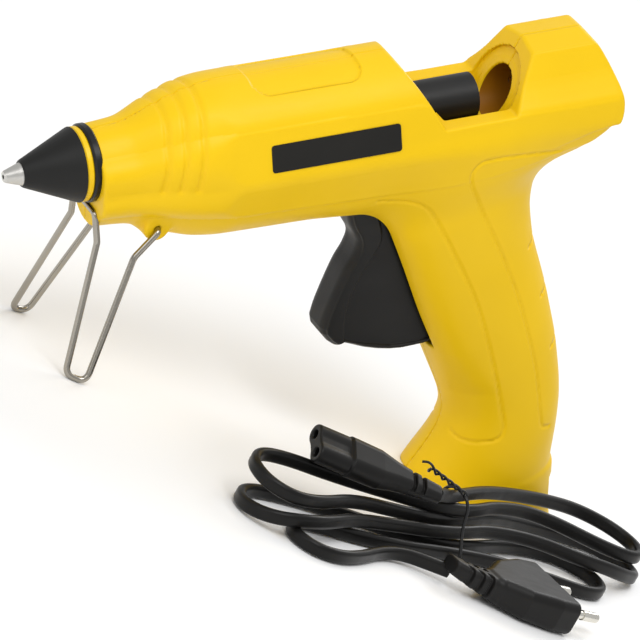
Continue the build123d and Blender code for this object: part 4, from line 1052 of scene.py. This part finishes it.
# The ribbed neck behind it bends aside and down to the cord
NECK_AT, NECK_B, NECK_C, NECK_CORNER = [32.0, 52.0], [5.6, 4.2], [5.0, 3.1], 2.6
BEND_FROM, BEND_LONG, BEND_ASIDE, BEND_DOWN = 34.0, 20.0, 9.0, 2.2
PLUG_RIBS = (38.5, 42.5, 46.5)


def plug_form(a, b, c):
    """The flat two-pin plug with its ribbed neck."""
    body_b, body_c = np.interp(a, PLUG_B_AT, PLUG_B), np.interp(a, PLUG_C_AT, PLUG_C)
    body = rounded_bar(b, c, body_b, body_c, PLUG_CORNER) * 0.85
    body = smax(smax(body, -a, 1.2), a - PLUG_END, 2.5)
    shift = np.clip((a - BEND_FROM) / BEND_LONG, 0, 1) ** 1.6
    nb, nc = b - BEND_ASIDE * shift, c + BEND_DOWN * shift
    half_b, half_c = np.interp(a, NECK_AT, NECK_B), np.interp(a, NECK_AT, NECK_C)
    neck = rounded_bar(nb, nc, half_b, half_c, NECK_CORNER)
    for at in PLUG_RIBS:
        neck = smax(neck, -smax(np.abs(a - at) - RIB_HALF, 1.0 - np.abs(nb), 0.3), 0.4)
    core = rounded_bar(nb, nc, half_b - 1.9, half_c - 1.0, 1.2)
    neck = smax(smax(smin(neck, core, 0.3), 30.0 - a, 0.5), a - NECK_AT[1], 0.8)
    return smin(body, neck, 0.8)


for name, node, form, lo, hi, face in (
        ("connector", "lead_connector", connector_form, (-1.0, -10.0, -7.0), (60.0, 10.0, 7.0),
         (CONNECTOR_FACE, CONNECTOR_AXIS, CONNECTOR_ROLL)),
        ("plug", "mains_plug", plug_form, (-1.0, -19.0, -9.0), (54.0, 19.0, 9.0),
         (PLUG_FACE, -PLUG_AXIS, PLUG_SIDE))):
    made = surface_net(form, form, lo, hi, LEAD_STEP)
    place, turn = frame_of(*face)
    finish_piece(net_object(name, made, False, place, turn), "lead", "plug_rubber", node)

# The twist tie: a loop round the bundle, from the side s and height z, and its two twisted ends
TIE_T, TIE_LEAN, TIE_R, TIE_END_R = 94.0, 0.12, 0.65, 0.5
TIE_LOOP = [
    (8.0, 25.2), (2.0, 25.4), (-2.0, 22.0), (-3.0, 14.0), (-1.0, 7.0), (4.0, 1.6), (10.0, 0.7),
    (18.0, 0.8), (20.6, 3.4), (18.4, 7.2), (14.0, 14.0), (12.0, 22.0)]
loop = [hank(TIE_T + TIE_LEAN * (k - 6), s, z) for k, (s, z) in enumerate(TIE_LOOP)]
finish_piece(wire_piece("tie_loop", loop, TIE_R, cyclic=True), "lead", "tie_black", "twist_tie")
TWIST_START, TWIST_END, TWIST_TURNS, TWIST_STEPS = (93.0, 9.0, 25.6), (75.0, -1.5, 30.5), 3.0, 24
TWIST_R, SPLAY, SPLAY_FROM, SPLAY_LONG = 0.75, 1.6, 0.85, 0.15  # they splay apart at their ends
for side in (0, 1):
    places = []
    for k in range(TWIST_STEPS + 1):
        f = k / TWIST_STEPS
        t, s, z = [a + (b - a) * f for a, b in zip(TWIST_START, TWIST_END)]
        angle = math.pi * side + 2 * math.pi * TWIST_TURNS * f
        spread = TWIST_R + (SPLAY * (f - SPLAY_FROM) / SPLAY_LONG if f > SPLAY_FROM else 0)
        places.append(hank(t + 0.2 * math.cos(angle), s + spread * math.cos(angle),
                           z + spread * math.sin(angle)))
    finish_piece(wire_piece("tie_end_" + "ab"[side], places, TIE_END_R), "lead", "tie_black")


# ---- CAD nodes that keep their own shape ----
for entry in frame["record"]["subparts"]:
    materials = frame["nodes"][entry["node"]].data.materials
    materials.clear()
    materials.append(MATERIALS[entry["material_slot"]])


# ---- studio ----
LIGHTS_AIM = Vector((0, 0, 0.1))
FLOOR_HALF, FLOOR_ALBEDO, FLOOR_ROUGH, WORLD_STRENGTH = 6.0, 0.95, 0.6, 0.62


def area_light(name, place, size, power):
    """A square soft light aimed at the tool."""
    data = bpy.data.lights.new(name, "AREA")
    data.shape, data.size, data.size_y = "RECTANGLE", size, size
    data.energy = power
    lamp = link(bpy.data.objects.new(name, data))
    lamp.location = place
    lamp.rotation_mode = "QUATERNION"
    lamp.rotation_quaternion = (Vector(place) - LIGHTS_AIM).to_track_quat("Z", "Y")


floor_mesh = bpy.data.meshes.new("floor")
corners = [(x * FLOOR_HALF, y * FLOOR_HALF, 0) for x, y in ((-1, -1), (1, -1), (1, 1), (-1, 1))]
floor_mesh.from_pydata(corners, [], [(0, 1, 2, 3)])
floor = link(bpy.data.objects.new("floor", floor_mesh))
floor_mat, _, floor_shader = new_material("floor_pale")
floor_shader.inputs["Base Color"].default_value = grey(FLOOR_ALBEDO)
floor_shader.inputs["Roughness"].default_value = FLOOR_ROUGH
floor_mesh.materials.append(floor_mat)
floor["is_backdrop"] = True

world = bpy.data.worlds.new("studio")
world.use_nodes = True
background = world.node_tree.nodes["Background"]
background.inputs["Color"].default_value = grey(1)
background.inputs["Strength"].default_value = WORLD_STRENGTH
scene.world = world

area_light("key", (-0.5, -0.9, 1.5), 0.9, 12)
area_light("fill", (-1.4, -0.5, 0.7), 0.8, 3)
area_light("rim", (0.9, 0.7, 1.0), 0.6, 5)
area_light("overhead", (0.2, 0.0, 1.7), 1.2, 3.2)

lo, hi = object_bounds()
